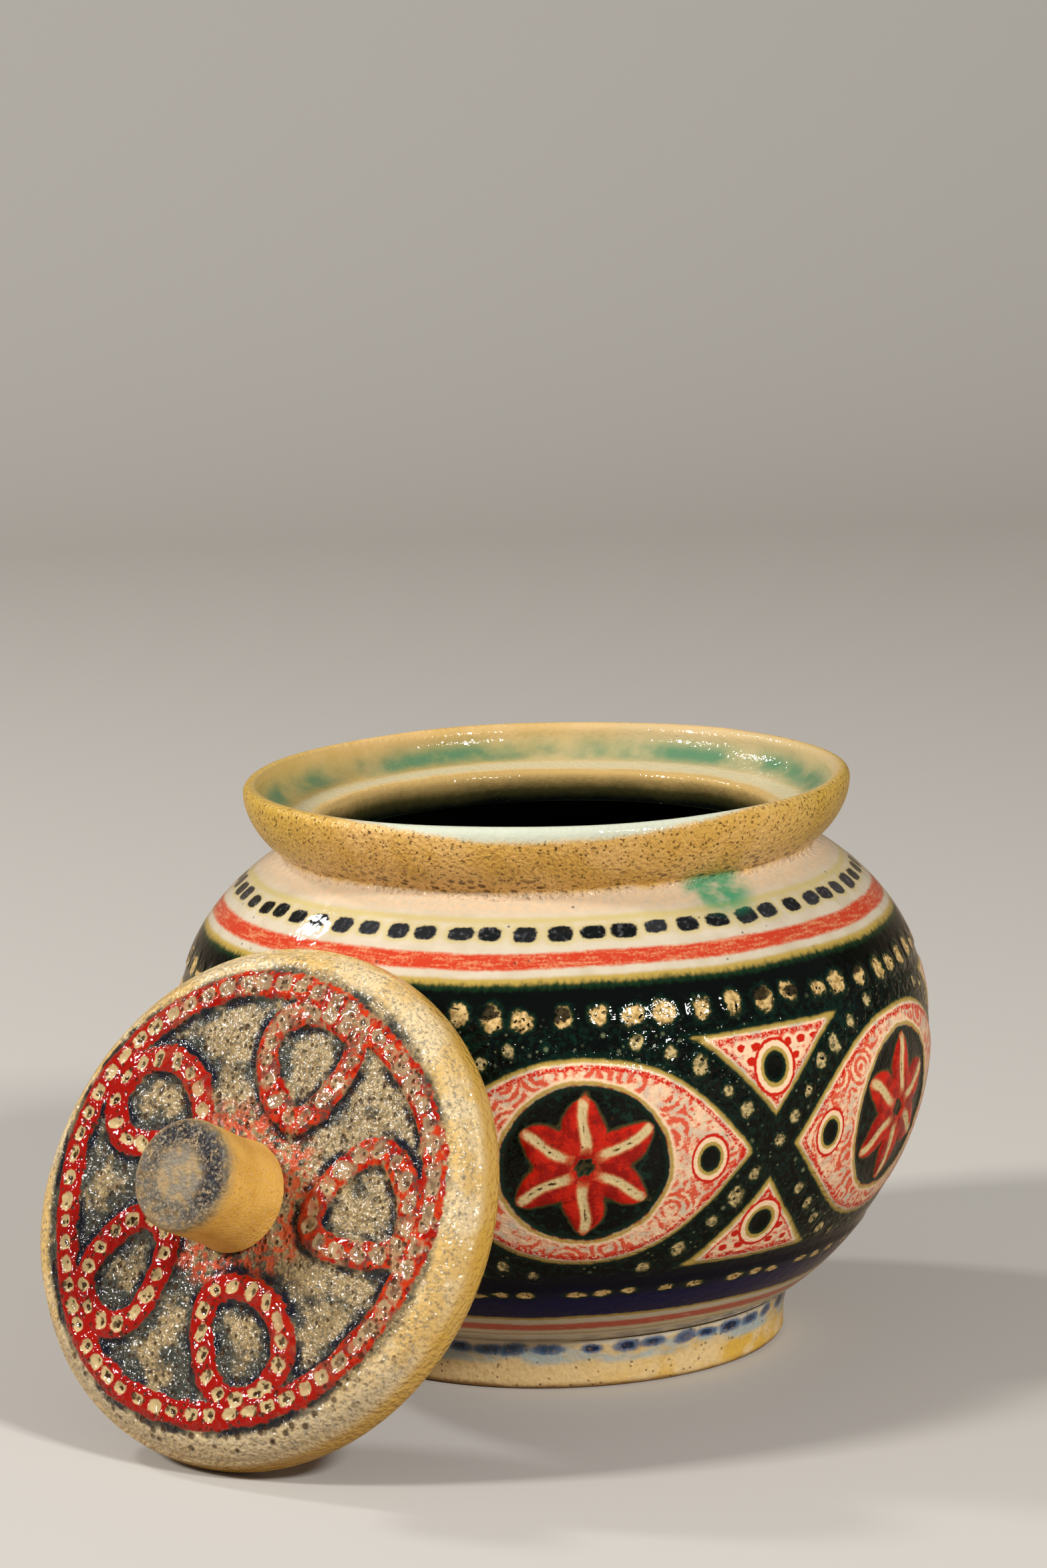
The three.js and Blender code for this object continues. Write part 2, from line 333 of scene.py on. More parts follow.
class Paint:
    """One material's node tree, and the colour that is painted so far"""

    def __init__(self, name, specular=0.2):
        self.material = bpy.data.materials.new(name)
        self.material.use_nodes = True
        self.tree = self.material.node_tree
        self.shader = self.tree.nodes["Principled BSDF"]
        self.shader.inputs["Specular IOR Level"].default_value = specular
        self.shader.inputs["IOR"].default_value = 1.5
        self.place = self.value("Attribute", "Vector", {}, attribute_name="turned_place")
        self.x, self.y, self.z = [self.value("SeparateXYZ", axis, {0: self.place}) for axis in range(3)]
        self.radius = self.math("SQRT", self.x * self.x + self.y * self.y)
        self.base = None

    def value(self, kind, output, given, **settings):
        """A new node's output, with what is given to its inputs: values, numbers or colours"""
        node = self.tree.nodes.new("ShaderNode" + kind)
        for setting, choice in settings.items():
            setattr(node, setting, choice)
        for name, entry in given.items():
            if isinstance(entry, Value):
                self.tree.links.new(entry.socket, node.inputs[name])
            else:
                node.inputs[name].default_value = entry
        return Value(self, node.outputs[output])

    def math(self, operation, *values):
        return self.value("Math", 0, dict(enumerate(values)), operation=operation)

    def field(self, name):
        return self.value("Attribute", "Fac", {}, attribute_name=name)

    def mix(self, share, first, second):
        given = {0: share, 6: first, 7: second}
        return self.value("Mix", 2, given, data_type="RGBA", clamp_factor=True)

    def cover(self, mask, over):
        """Lays a colour over what is painted so far, where the mask is 1"""
        self.base = self.mix(mask, self.base, over)

    def steps(self, value, *layers):
        """Lays colours over one another, each where a value rises from its low to its high"""
        for low, high, over in layers:
            self.cover(value.rise(low, high), over)

    def stretched(self, x, y, z):
        """The place with its spread along each axis scaled"""
        return self.value("VectorMath", 0, {0: self.place, 1: (x, y, z)}, operation="MULTIPLY")

    def noise(self, size, detail=3.0, place=None, seed=0.0, roughness=0.5):
        """Soft noise about 0.5 with features of a size in millimetres"""
        given = {
            "Vector": place or self.place, "W": seed, "Scale": 1 / size,
            "Detail": detail, "Roughness": roughness,
        }
        return self.value("TexNoise", "Fac", given, noise_dimensions="4D")

    def wobble(self, size, amount, **settings):
        """Noise spread evenly about 0, mostly within the amount"""
        return (self.noise(size, **settings) - 0.5) * (4 * amount)

    def cells(self, spacing, place=None):
        """How far a place is from the nearest of many scattered middles"""
        given = {"Vector": place or self.place, "Scale": 1 / spacing}
        return self.value("TexVoronoi", "Distance", given, feature="F1")

    def specks(self, spacing, radius, rare, soft=0.1, place=None):
        """Small round specks: 1 inside; rare is the share of cells that has one"""
        cells = self.cells(spacing, place)
        lot = Value(self, cells.socket.node.outputs["Color"])
        chosen = self.value("SeparateColor", 0, {0: lot}).rise(rare + 0.02, rare - 0.02)
        return cells.rise(radius / spacing + soft, radius / spacing - soft) * chosen

    def rings(self, spacing, step):
        """Rows of small fans: 1 on thin arcs a step apart about scattered middles, 0 between"""
        return 0.5 + self.math("SINE", self.cells(spacing) * (spacing / step * TURN)) * 0.5

    def blob(self, centre, size, soft=0.6):
        """1 about a place, fading to 0 at a distance from it"""
        distance = self.value("VectorMath", "Value", {0: self.place, 1: centre}, operation="DISTANCE")
        return distance.rise(size, size * (1 - soft))

    def finish(self, roughness, height):
        """The material, with a height in millimetres that shows as bumps"""
        normal = self.value("Bump", "Normal", {"Height": height, "Distance": MM})
        for name, entry in (("Base Color", self.base), ("Roughness", roughness), ("Normal", normal)):
            self.tree.links.new(entry.socket, self.shader.inputs[name])
        return self.material


CREAM = colour(207, 195, 173)
SHADED_CREAM = colour(197, 183, 158)
ROSY_BEIGE = colour(218, 190, 156)
PANEL_CREAM = colour(250, 216, 178)
OLIVE = colour(182, 154, 76)
OLIVE_PALE = colour(196, 178, 108)
RED = colour(204, 34, 16)
STRIPE_PALE = colour(212, 120, 72)
STRIPE_RED = colour(194, 44, 20)
DEEP_RED = colour(150, 18, 12)
STIPPLE_RED = colour(222, 70, 40)
STIPPLE_PALE = colour(242, 160, 118)
BRICK = colour(206, 72, 44)
BLACK_GREEN = colour(5, 9, 7)
DEEP_GREEN = colour(8, 34, 24)
FRINGE_GREEN = colour(20, 48, 26)
MOTTLE_GREEN = colour(12, 44, 34)
FLECK = colour(120, 130, 96)
CHARCOAL = colour(52, 52, 56)
PEWTER = colour(96, 94, 98)
NAVY = colour(9, 9, 62)
NAVY_BLACK = colour(5, 8, 22)
GREY_CREAM = colour(216, 206, 182)
GREY_BROWN = colour(150, 128, 98)
DOT_CREAM = colour(220, 188, 128)
DOT_SHADE = colour(168, 136, 80)
BEAD = colour(204, 180, 126)
BEAD_SHADE = colour(110, 102, 70)
DARK_OLIVE = colour(70, 66, 34)
SLIT_CREAM = colour(222, 198, 146)
PIT_BROWN = colour(62, 38, 16)
SMEAR_GREEN = colour(22, 146, 102)

COLLAR_BEIGE = colour(226, 184, 114)
COLLAR_MUSTARD = colour(212, 168, 84)
COLLAR_OLIVE = colour(194, 160, 56)
COLLAR_CREAM = colour(200, 178, 136)
GALLERY_GREEN = colour(64, 122, 90)
LEDGE_CREAM = colour(196, 184, 148)
THROAT_BEIGE = colour(190, 158, 98)
THROAT_OLIVE = colour(58, 54, 28)
GLASSY_SHEEN_BLUE = colour(200, 212, 198)
COLLAR_SHADE = colour(170, 124, 60)
PINHOLE = colour(84, 50, 16)

FOOT_CREAM = colour(226, 196, 140)
FOOT_MUSTARD = colour(216, 172, 70)
FOOT_BROWN = colour(150, 104, 50)
FOOT_SHADE = colour(180, 148, 100)
PALE_BLUE = colour(156, 178, 184)
DASH_BLUE = colour(34, 82, 130)
BLUE_BLACK = colour(16, 36, 66)

LID_GROUND = colour(144, 122, 84)
LID_SAND = colour(168, 145, 104)
LID_GROUND_BLUE = colour(78, 82, 78)
TEAL_NAVY = colour(24, 42, 46)
ORANGE_RED = colour(194, 78, 44)
LID_MUSTARD = colour(216, 180, 112)
LID_CREAM = colour(226, 202, 156)
LID_GREY_CREAM = colour(190, 172, 138)
LID_SIDE = colour(194, 150, 50)
GREY_BLUE_SPECK = colour(124, 120, 112)
INK_AND_SHADE_BLUE = colour(10, 15, 30)
LID_RED = colour(152, 14, 3)
FADED_RED = colour(192, 54, 18)
CELL_CREAM = colour(194, 170, 122)
CELL_GREY = colour(174, 140, 106)

KNOB_MUSTARD = colour(234, 182, 84)
KNOB_OCHRE = colour(220, 166, 70)
KNOB_GREY = colour(132, 122, 104)
KNOB_SAND = colour(168, 142, 100)


# The bowl

FRIEZE_MIDDLE = 44.2
FRIEZE_HALF = 19.8
PANELS = 6
WAVE_RISE = 21.5
BAND_HALF = 3.9
LENS_TURN = math.radians(38.5 - 90)      # the middle of the lens panel that faces the camera
FLOWER_RADIUS = 14.0
PETALS = 6
CLEAR = -4.0                             # the panel and flower fields far outside their shapes
LENS_EYE_OFF = 21.6                      # ring eyes, from the middle of a lens panel
CROSSING_EYE_OFF = 13.6                  # and over and under a crossing
GROUND_DEPTH = 0.3                       # how far the dark ground lies below the panels
FOOT_DASH_LEVEL = 7.1
GREY_FOOT_TOP = 9.7
GREY_STRIPE = (10.9, 11.3)
BRICK_STRIPE = (12.1, 13.6)
STRIPES_TOP = 15.0                       # of the pale ground of the fine stripes
NAVY_DASH_LEVEL = 20.0
NAVY_TOP = 23.8
DOT_LEVEL = 68.7
GROUND_TOP = 74.1                        # where the black-green ground gives way to cream
RED_STRIPE = (75.9, 78.1)
DASH_LEVEL = 80.9
ROSY_LEVEL = 82.5                        # where the cream turns rosy
GREEN_SMEAR = (43.8, -15.6, 85.0)
FRONT_LIP = (28.5, -41.5, 98.0)


def bowl_form():
    outside = joined(
        spaced(lower_side(BOWL_LOW_RADIUS, BELLY_RADIUS), 0.82),
        spaced(upper_side(BELLY_RADIUS, NECK_RADIUS), 0.82),
    )
    inside_radius = BELLY_RADIUS - WALL
    inside = joined(
        spaced(lower_side(WELL_RADIUS, inside_radius), 5),
        spaced(upper_side(inside_radius, THROAT_RADIUS), 2.5),
    )
    return Turned(np.concatenate([outside, inside[::-1]]), COLUMNS, loops=True), len(outside)


def wave(angle, side):
    """The level of one of the two crossing bands of the frieze, and its slope in mm per radian"""
    turn = PANELS / 2 * (angle - LENS_TURN)
    level = (np.cos(turn) - 0.06 * np.cos(3 * turn)) / 0.94
    slope = -PANELS / 2 * (np.sin(turn) - 0.18 * np.sin(3 * turn)) / 0.94
    return FRIEZE_MIDDLE + side * WAVE_RISE * level, side * WAVE_RISE * slope


def paint_frieze(bowl, rows):
    """Two dark bands that wave round the belly and cross, with pale panels between them"""
    height = bowl.grid(bowl.height)
    radius = bowl.grid(bowl.radius)
    bands = []
    for side in (1, -1):
        level, slope = wave(bowl.angle, side)
        lean = np.cos(np.arctan2(slope[None, :], radius))
        bands.append(abs(height - level[None, :]) * lean - BAND_HALF)
    inside = np.minimum(bands[0], bands[1])
    edge = FRIEZE_HALF - abs(height - FRIEZE_MIDDLE)
    panel = np.clip(np.minimum(inside, edge), CLEAR, 12)
    panel[rows:] = CLEAR
    bowl.field("panel")[:] = panel
    ground = (1 - np.clip(panel / 0.8 + 0.5, 0, 1)) * (edge > -3) * (panel > CLEAR)
    bowl.lift -= GROUND_DEPTH * ground
    middle = bowl.walked_at(FRIEZE_MIDDLE)
    for number in range(PANELS):
        turn = LENS_TURN + number * TURN / PANELS
        paint_flower(bowl, turn, middle)
        crossing = turn + TURN / PANELS / 2
        for side in (1, -1):
            beside = turn + side * LENS_EYE_OFF / BELLY_RADIUS
            bowl.spot("eye", beside, middle + rng.normal(0, 0.3), 1.8, 2.3, depth=0.25)
            above = bowl.walked_at(FRIEZE_MIDDLE + side * CROSSING_EYE_OFF)
            bowl.spot("eye", crossing, above, 2.2, 2.6, depth=0.25)
            paint_strokes(bowl, crossing, side)
    paint_beads(bowl)


def paint_flower(bowl, angle, walked):
    """A round dark flower with red petals, each with a pale slit"""
    place, across, along = bowl.near(angle, walked, FLOWER_RADIUS + 4)
    reach = np.hypot(across, along)
    bowl.field("flower", CLEAR)[place] = np.maximum(FLOWER_RADIUS - reach, CLEAR)
    around = np.arctan2(along, across) - math.pi / 2 + math.radians(rng.uniform(-4, 4))
    petal_turn = TURN / PETALS
    number = np.floor(around / petal_turn + 0.5).astype(int) % PETALS
    off = (around + petal_turn / 2) % petal_turn - petal_turn / 2
    out = reach * np.cos(off) * rng.uniform(0.98, 1.1, PETALS)[number]
    aside = abs(reach * np.sin(off) + 0.35 * np.sin(out / 1.7 + 2 * number + angle))
    share = np.clip((out - 1.6) / 11.6, 0, 1)
    width = 3.9 * np.sin(math.pi * share**0.8) ** 0.6 * rng.uniform(0.85, 1.05, PETALS)[number]
    petal = np.clip(width - aside, -3, 3)
    petal[reach > FLOWER_RADIUS + 1] = -3
    bowl.field("petal", -3.0)[place] = petal
    slit = np.minimum(0.85 - aside, np.minimum(0.3 * (out - 3.2), 0.3 * (12.8 - out)))
    slit[reach > FLOWER_RADIUS + 1] = -3
    bowl.field("slit", -3.0)[place] = np.clip(slit, -3, 1)
    disc = np.clip((FLOWER_RADIUS - reach) / 0.8, 0, 1)
    sunk = 0.32 - 0.32 * np.clip(petal / 0.8, 0, 1) + 0.2 * np.clip(slit / 0.4, 0, 1)
    bowl.lift[place] -= disc * sunk


def paint_strokes(bowl, crossing, side):
    """Rows of short red strokes in the three-cornered panel over or under a crossing"""
    for row, (inwards, count) in enumerate(((2.4, 9), (4.8, 6))):
        level = FRIEZE_MIDDLE + side * (FRIEZE_HALF - inwards)
        walked = bowl.walked_at(level)
        radius = np.interp(walked, bowl.walked, bowl.radius)
        for number in range(count):
            off = (number - (count - 1) / 2) * 3.0 + rng.normal(0, 0.15)
            if row == 1 and abs(off) < 3.4:
                continue
            bowl.spot(
                "stroke", crossing + off / radius, walked + rng.normal(0, 0.12),
                1.05 * rng.uniform(0.8, 1.15), 0.68 * rng.uniform(0.85, 1.2),
            )


def paint_beads(bowl):
    """Pale dots along the middle of both bands, left out where a band runs under the other"""
    for side in (1, -1):
        angle = 0.0
        while angle < TURN - 0.04:
            level, slope = wave(np.array(angle), side)
            walked = bowl.walked_at(float(level))
            radius = np.interp(walked, bowl.walked, bowl.radius)
            crossing = PANELS / 2 * (angle - LENS_TURN) / math.pi - 0.5
            near_crossing = abs(crossing - round(crossing)) * math.pi / (PANELS / 2) * radius < 5.5
            under = (round(crossing) % 2 == 0) == (side == 1)
            in_frieze = abs(float(level) - FRIEZE_MIDDLE) < FRIEZE_HALF + 1
            if in_frieze and not (near_crossing and under):
                size = rng.uniform(0.9, 1.5)
                bowl.spot(
                    "bead", angle + rng.normal(0, 0.004), walked + rng.normal(0, 0.4),
                    size, size * rng.uniform(1.0, 1.4), turned=rng.uniform(-0.5, 0.5), depth=0.22,
                )
            angle += 5.2 * rng.uniform(0.85, 1.2) / math.hypot(radius, float(slope))


def paint_row(
    bowl, field, level, count, half_width, half_length, depth,
    spread=0.15, power=2.0, stray=0.15, vary=0.2,
):
    """A row of dabs right round the jar, no two quite alike"""
    walked = bowl.walked_at(level)
    angles = [(number + rng.normal(0, spread)) * TURN / count for number in range(count)]
    for angle in angles:
        bowl.spot(
            field, angle, walked + rng.normal(0, stray),
            half_width * rng.uniform(1 - vary, 1 + vary), half_length * rng.uniform(1 - vary, 1 + vary),
            turned=rng.normal(0, 0.08), depth=depth, power=power, tone=rng.uniform(0, 1),
        )
    return angles


def make_bowl():
    bowl, rows = bowl_form()
    paint_frieze(bowl, rows)
    dots = paint_row(bowl, "dot", DOT_LEVEL, 67, 1.8, 1.9, 0.16, spread=0.1, power=2.3, stray=0.3)
    for angle in dots:
        if rng.uniform() < 0.5:
            above = bowl.walked_at(DOT_LEVEL) + rng.uniform(0.5, 1.6)
            bowl.spot("dot_cover", angle + rng.normal(0, 0.008), above, 2.1, 1.3 * rng.uniform(0.7, 1.2))
    paint_row(bowl, "dash", DASH_LEVEL, 60, 2.15, 1.5, 0.05, spread=0.05, power=3.4, stray=0.1, vary=0.12)
    paint_row(bowl, "navy_dash", NAVY_DASH_LEVEL, 60, 1.7, 0.85, 0.15)
    soft = sum(
        np.sin(count * bowl.angle[None, :] + phase + bowl.walked[:, None] / length)
        for count, phase, length in ((2, 0.4, 30.0), (3, 2.0, 17.0), (5, 4.4, 11.0))
    )
    bowl.lift -= 0.05 * (soft + 3) * (np.arange(len(bowl.walked))[:, None] < rows)
    bowl.field("inside", 0.0)[rows:] = 1
    piece = bowl.make("bowl")
    piece.data.materials.append(bowl_glaze())
    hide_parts("bowl_lower", "bowl_upper")
    return piece


# The collar and the foot

CREASE = 2.3                             # glaze pooled where the collar leaves the shoulder
CREASE_SUNK = 0.35
CREASE_ROWS = 5
LIP_WALK = 15.4                          # the lip's top, along the outline from the crease
GREEN_WALK = (19.4, 24.4)                # the green brushed low round the gallery wall
LEDGE_WALK = (25.4, 28.4)
THROAT_WALK = 28.4


def make_collar():
    lip_round = LIP_THICKNESS / 2
    lip_level = LIP_TOP - lip_round
    lip_middle = LIP_RADIUS - lip_round
    lip_inside = LIP_RADIUS - LIP_THICKNESS
    flare = LIP_RADIUS - NECK_RADIUS
    rise = lip_level - NECK_HEIGHT
    gallery_level = LEDGE_LEVEL + LEDGE_RISE
    gallery_depth = lip_level - gallery_level
    ledge_start = THROAT_RADIUS + THROAT_EDGE
    neck = (NECK_RADIUS, NECK_HEIGHT)
    side = spaced(curve(
        neck,
        (NECK_RADIUS + 0.6 * flare, NECK_HEIGHT + 0.24 * rise),
        (LIP_RADIUS, NECK_HEIGHT + 0.65 * rise),
        (LIP_RADIUS, lip_level),
    ), 0.5)
    shoulder = upper_side(BELLY_RADIUS, NECK_RADIUS)[::-1]
    crease_start = NECK_RADIUS + CREASE
    crease_level = np.interp(crease_start, shoulder[:, 0], shoulder[:, 1]) - CREASE_SUNK
    outline = joined(
        curve((crease_start, crease_level), neck, neck, side[CREASE_ROWS]),
        side[CREASE_ROWS:],
        quarter((LIP_RADIUS, lip_level), (lip_middle, LIP_TOP), False),
        quarter((lip_middle, LIP_TOP), (lip_inside, lip_level), True),
        curve(
            (lip_inside, lip_level),
            (lip_inside, lip_level - 0.5 * gallery_depth),
            (GALLERY_RADIUS + 0.3 * (lip_inside - GALLERY_RADIUS), gallery_level),
            (GALLERY_RADIUS, gallery_level),
        ),
        [(GALLERY_RADIUS, gallery_level), (ledge_start, LEDGE_LEVEL)],
        quarter((ledge_start, LEDGE_LEVEL), (THROAT_RADIUS, LEDGE_LEVEL - THROAT_EDGE), True),
        [(THROAT_RADIUS, LEDGE_LEVEL - THROAT_EDGE), (THROAT_RADIUS, NECK_HEIGHT)],
    )
    collar = Turned(spaced(outline, 0.5), COLUMNS, loops=True)
    collar.walked += LIP_WALK - collar.walked_at(LIP_TOP)
    thrown = sum(
        np.sin(count * collar.angle + phase) for count, phase in ((2, 1.0), (3, 3.1), (7, 0.2))
    )
    collar.lift -= 0.06 * (thrown[None, :] + 3)
    piece = collar.make("collar_rim")
    piece.data.materials.append(collar_glaze())
    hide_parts("collar")
    return piece


def make_foot():
    edge = FOOT_RADIUS - FOOT_EDGE
    outline = joined(
        [(POLE_RADIUS, 0.0), (edge, 0.0)],
        quarter((edge, 0.0), (FOOT_RADIUS, FOOT_EDGE), True),
        curve(
            (FOOT_RADIUS, FOOT_EDGE),
            (FOOT_RADIUS, FOOT_HEIGHT / 2),
            (FOOT_RADIUS, FOOT_HEIGHT / 2),
            (BOWL_LOW_RADIUS, FOOT_HEIGHT),
        ),
        [(BOWL_LOW_RADIUS, FOOT_HEIGHT), (WELL_RADIUS, FOOT_HEIGHT)],
        quarter((WELL_RADIUS, FOOT_HEIGHT), (WELL_RADIUS - FLOOR_ROUND, FLOOR_THICKNESS), False),
        [(WELL_RADIUS - FLOOR_ROUND, FLOOR_THICKNESS), (POLE_RADIUS, FLOOR_THICKNESS)],
    )
    foot = Turned(spaced(outline, 0.6), FOOT_COLUMNS, loops=False)
    paint_row(foot, "foot_dash", FOOT_DASH_LEVEL, 44, 1.9, 0.85, 0.05, power=2.6)
    piece = foot.make("foot_ring")
    piece.data.materials.append(foot_glaze())
    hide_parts("foot")
    return piece


# The lid

RIM_RADIUS = 38.0                        # where the painted field meets the broad edge
RIBBON_HALF = 2.45
BORDER_RADIUS = 35.6
LID_PETALS = 5
PETAL_MIDDLE = 23.6
PETAL_LENGTH = 9.4
PETAL_HALF = 7.9
PETAL_SWIRL = math.radians(24)
CELL_STEP = 3.7
RIBBON_RISE = 0.7
FADE_WAY = (0.75, 0.66)                  # the side of the lid towards which its glaze fades
FADE_REACH = 30.0


def distance_to_path(x, y, path):
    nearest = np.full(x.shape, np.inf)
    for start, end in zip(path[:-1], path[1:]):
        step = end - start
        off_x = x - start[0]
        off_y = y - start[1]
        share = np.clip((off_x * step[0] + off_y * step[1]) / (step @ step), 0, 1)
        nearest = np.minimum(nearest, np.hypot(off_x - share * step[0], off_y - share * step[1]))
    return nearest


def lid_paths():
    """The middles of the lid's ribbons as seen from above: a border ring and five leaning petals"""
    turn = np.linspace(0, TURN, 121)
    border = BORDER_RADIUS + 0.7 * np.sin(3 * turn + 1) + 0.4 * np.sin(5 * turn)
    paths = [np.stack([border * np.cos(turn), border * np.sin(turn)], axis=1)]
    for number in range(LID_PETALS):
        middle = number * TURN / LID_PETALS + rng.normal(0, 0.05)
        out = PETAL_LENGTH * np.cos(turn) * rng.uniform(0.95, 1.06)
        aside = PETAL_HALF * rng.uniform(0.88, 1.05) * np.sin(turn) * (1 + 0.3 * np.cos(turn))
        aside = aside + 0.5 * np.sin(2 * turn + number) + 0.3 * np.sin(3 * turn + 2 * number)
        lean = middle + PETAL_SWIRL
        x = PETAL_MIDDLE * math.cos(middle) + out * math.cos(lean) - aside * math.sin(lean)
        y = PETAL_MIDDLE * math.sin(middle) + out * math.sin(lean) + aside * math.cos(lean)
        paths.append(np.stack([x, y], axis=1))
    return paths


def paint_ribbons(lid, top_row):
    """Raised ribbons with a row of pale pitted cells along each"""
    x = lid.radius[top_row:, None] * np.cos(lid.angle)
    y = lid.radius[top_row:, None] * np.sin(lid.angle)
    ribbon = lid.field("ribbon", -6.0)
    for path in lid_paths():
        gap = distance_to_path(x, y, path)
        ribbon[top_row:] = np.maximum(ribbon[top_row:], np.clip(RIBBON_HALF - gap, -6, 3))
        steps = np.hypot(*np.diff(path, axis=0).T)
        length = steps.sum()
        walked = np.concatenate([[0], np.cumsum(steps)])
        for number in range(round(length / CELL_STEP)):
            at = (number + rng.normal(0.5, 0.06)) * CELL_STEP
            cell_x = np.interp(at, walked, path[:, 0])
            cell_y = np.interp(at, walked, path[:, 1])
            ahead_x = np.interp(at + 0.5, walked, path[:, 0]) - cell_x
            ahead_y = np.interp(at + 0.5, walked, path[:, 1]) - cell_y
            angle = math.atan2(cell_y, cell_x)
            radius = math.hypot(cell_x, cell_y)
            heading = math.atan2(ahead_y, ahead_x) - angle - math.pi / 2
            faded = np.clip((cell_x * FADE_WAY[0] + cell_y * FADE_WAY[1]) / FADE_REACH + 0.5, 0, 1)
            lid.spot(
                "cell", angle, lid.walked_at_radius(radius, top_row),
                1.4 * rng.uniform(0.75, 1.12), 1.1 * rng.uniform(0.75, 1.15),
                turned=-heading, depth=0.6 - 0.4 * faded, power=3.2, tone=rng.uniform(0, 1),
            )
    raised = np.sin(math.pi / 2 * np.clip((ribbon + 0.3) / 1.8, 0, 1))
    lid.lift += RIBBON_RISE * (raised - 1) * np.clip((ribbon + 6) / 3, 0, 1)


def lid_place():
    """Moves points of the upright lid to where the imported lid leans"""
    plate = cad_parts["lid_plate"]
    corners = np.array([tuple(vertex.co) for vertex in plate.data.vertices]) / MM
    cos, sin = math.cos(LEAN), math.sin(LEAN)
    up_slope = corners[:, 1] * cos + corners[:, 2] * sin
    off_seat = corners[:, 2] * cos - corners[:, 1] * sin
    middle_x = (corners[:, 0].min() + corners[:, 0].max()) / 2
    middle_slope = (up_slope.min() + up_slope.max()) / 2
    seat = off_seat.min()

    def place(points):
        x, y, z = points.T
        slope = y + middle_slope
        off = z + seat
        return np.stack([x + middle_x, slope * cos - off * sin, slope * sin + off * cos], axis=1)

    return place


def make_lid(place):
    underside = joined(
        [(POLE_RADIUS, LID_HOLLOW_DEPTH), (LID_HOLLOW_FLAT, LID_HOLLOW_DEPTH)],
        quarter((LID_HOLLOW_FLAT, LID_HOLLOW_DEPTH), (LID_SEAT_INSIDE, 0), True),
        [(LID_SEAT_INSIDE, 0), (LID_SEAT_OUTSIDE, 0)],
    )
    outside = joined(
        quarter((LID_SEAT_OUTSIDE, 0), (LID_RADIUS, LID_LOWER_RISE), True),
        [(LID_RADIUS, LID_LOWER_RISE), (LID_RADIUS, LID_SIDE_HEIGHT)],
        quarter((LID_RADIUS, LID_SIDE_HEIGHT), (LID_DOME_RADIUS, LID_DOME_EDGE), False),
        dome_line(),
        [(KNOB_BASE_RADIUS, LID_DOME_TOP), (POLE_RADIUS, LID_DOME_TOP)],
    )
    lid = Turned(joined(spaced(underside, 2.5), spaced(outside, 0.5)), COLUMNS, loops=False)
    top_row = int(np.argmax(lid.height > LID_SIDE_HEIGHT + 3))
    paint_ribbons(lid, top_row)
    piece = lid.make("lid", place)
    piece.data.materials.append(lid_glaze())
    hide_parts("lid_plate")
    return piece


def dome_line():
    width = LID_DOME_RADIUS - KNOB_BASE_RADIUS
    rise = LID_DOME_TOP - LID_DOME_EDGE
    return curve(
        (LID_DOME_RADIUS, LID_DOME_EDGE),
        (LID_DOME_RADIUS - 0.3 * width, LID_DOME_EDGE + 0.65 * rise),
        (LID_DOME_RADIUS - 0.6 * width, LID_DOME_TOP),
        (KNOB_BASE_RADIUS, LID_DOME_TOP),
    )


def make_knob(place):
    base = LID_DOME_TOP + PIECE_GAP
    top_edge = KNOB_TOP_LEVEL - KNOB_TOP_ROUND
    top_radius = KNOB_RADIUS - KNOB_TOP_ROUND
    outline = joined(
        [(KNOB_POLE_RADIUS, base), (KNOB_BASE_RADIUS, base)],
        curve(
            (KNOB_BASE_RADIUS, base),
            (KNOB_BASE_RADIUS - KNOB_WAIST, base + 0.25 * KNOB_HEIGHT),
            (KNOB_RADIUS, base + 0.5 * KNOB_HEIGHT),
            (KNOB_RADIUS, top_edge),
        ),
        quarter((KNOB_RADIUS, top_edge), (top_radius, KNOB_TOP_LEVEL), False),
        [(top_radius, KNOB_TOP_LEVEL), (KNOB_POLE_RADIUS, KNOB_TOP_LEVEL + KNOB_CROWN)],
    )
    knob = Turned(spaced(outline, 0.4), KNOB_COLUMNS, loops=False)
    piece = knob.make("knob", place)
    piece.data.materials.append(knob_glaze())
    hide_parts("lid_knob")
    return piece


# Glazes

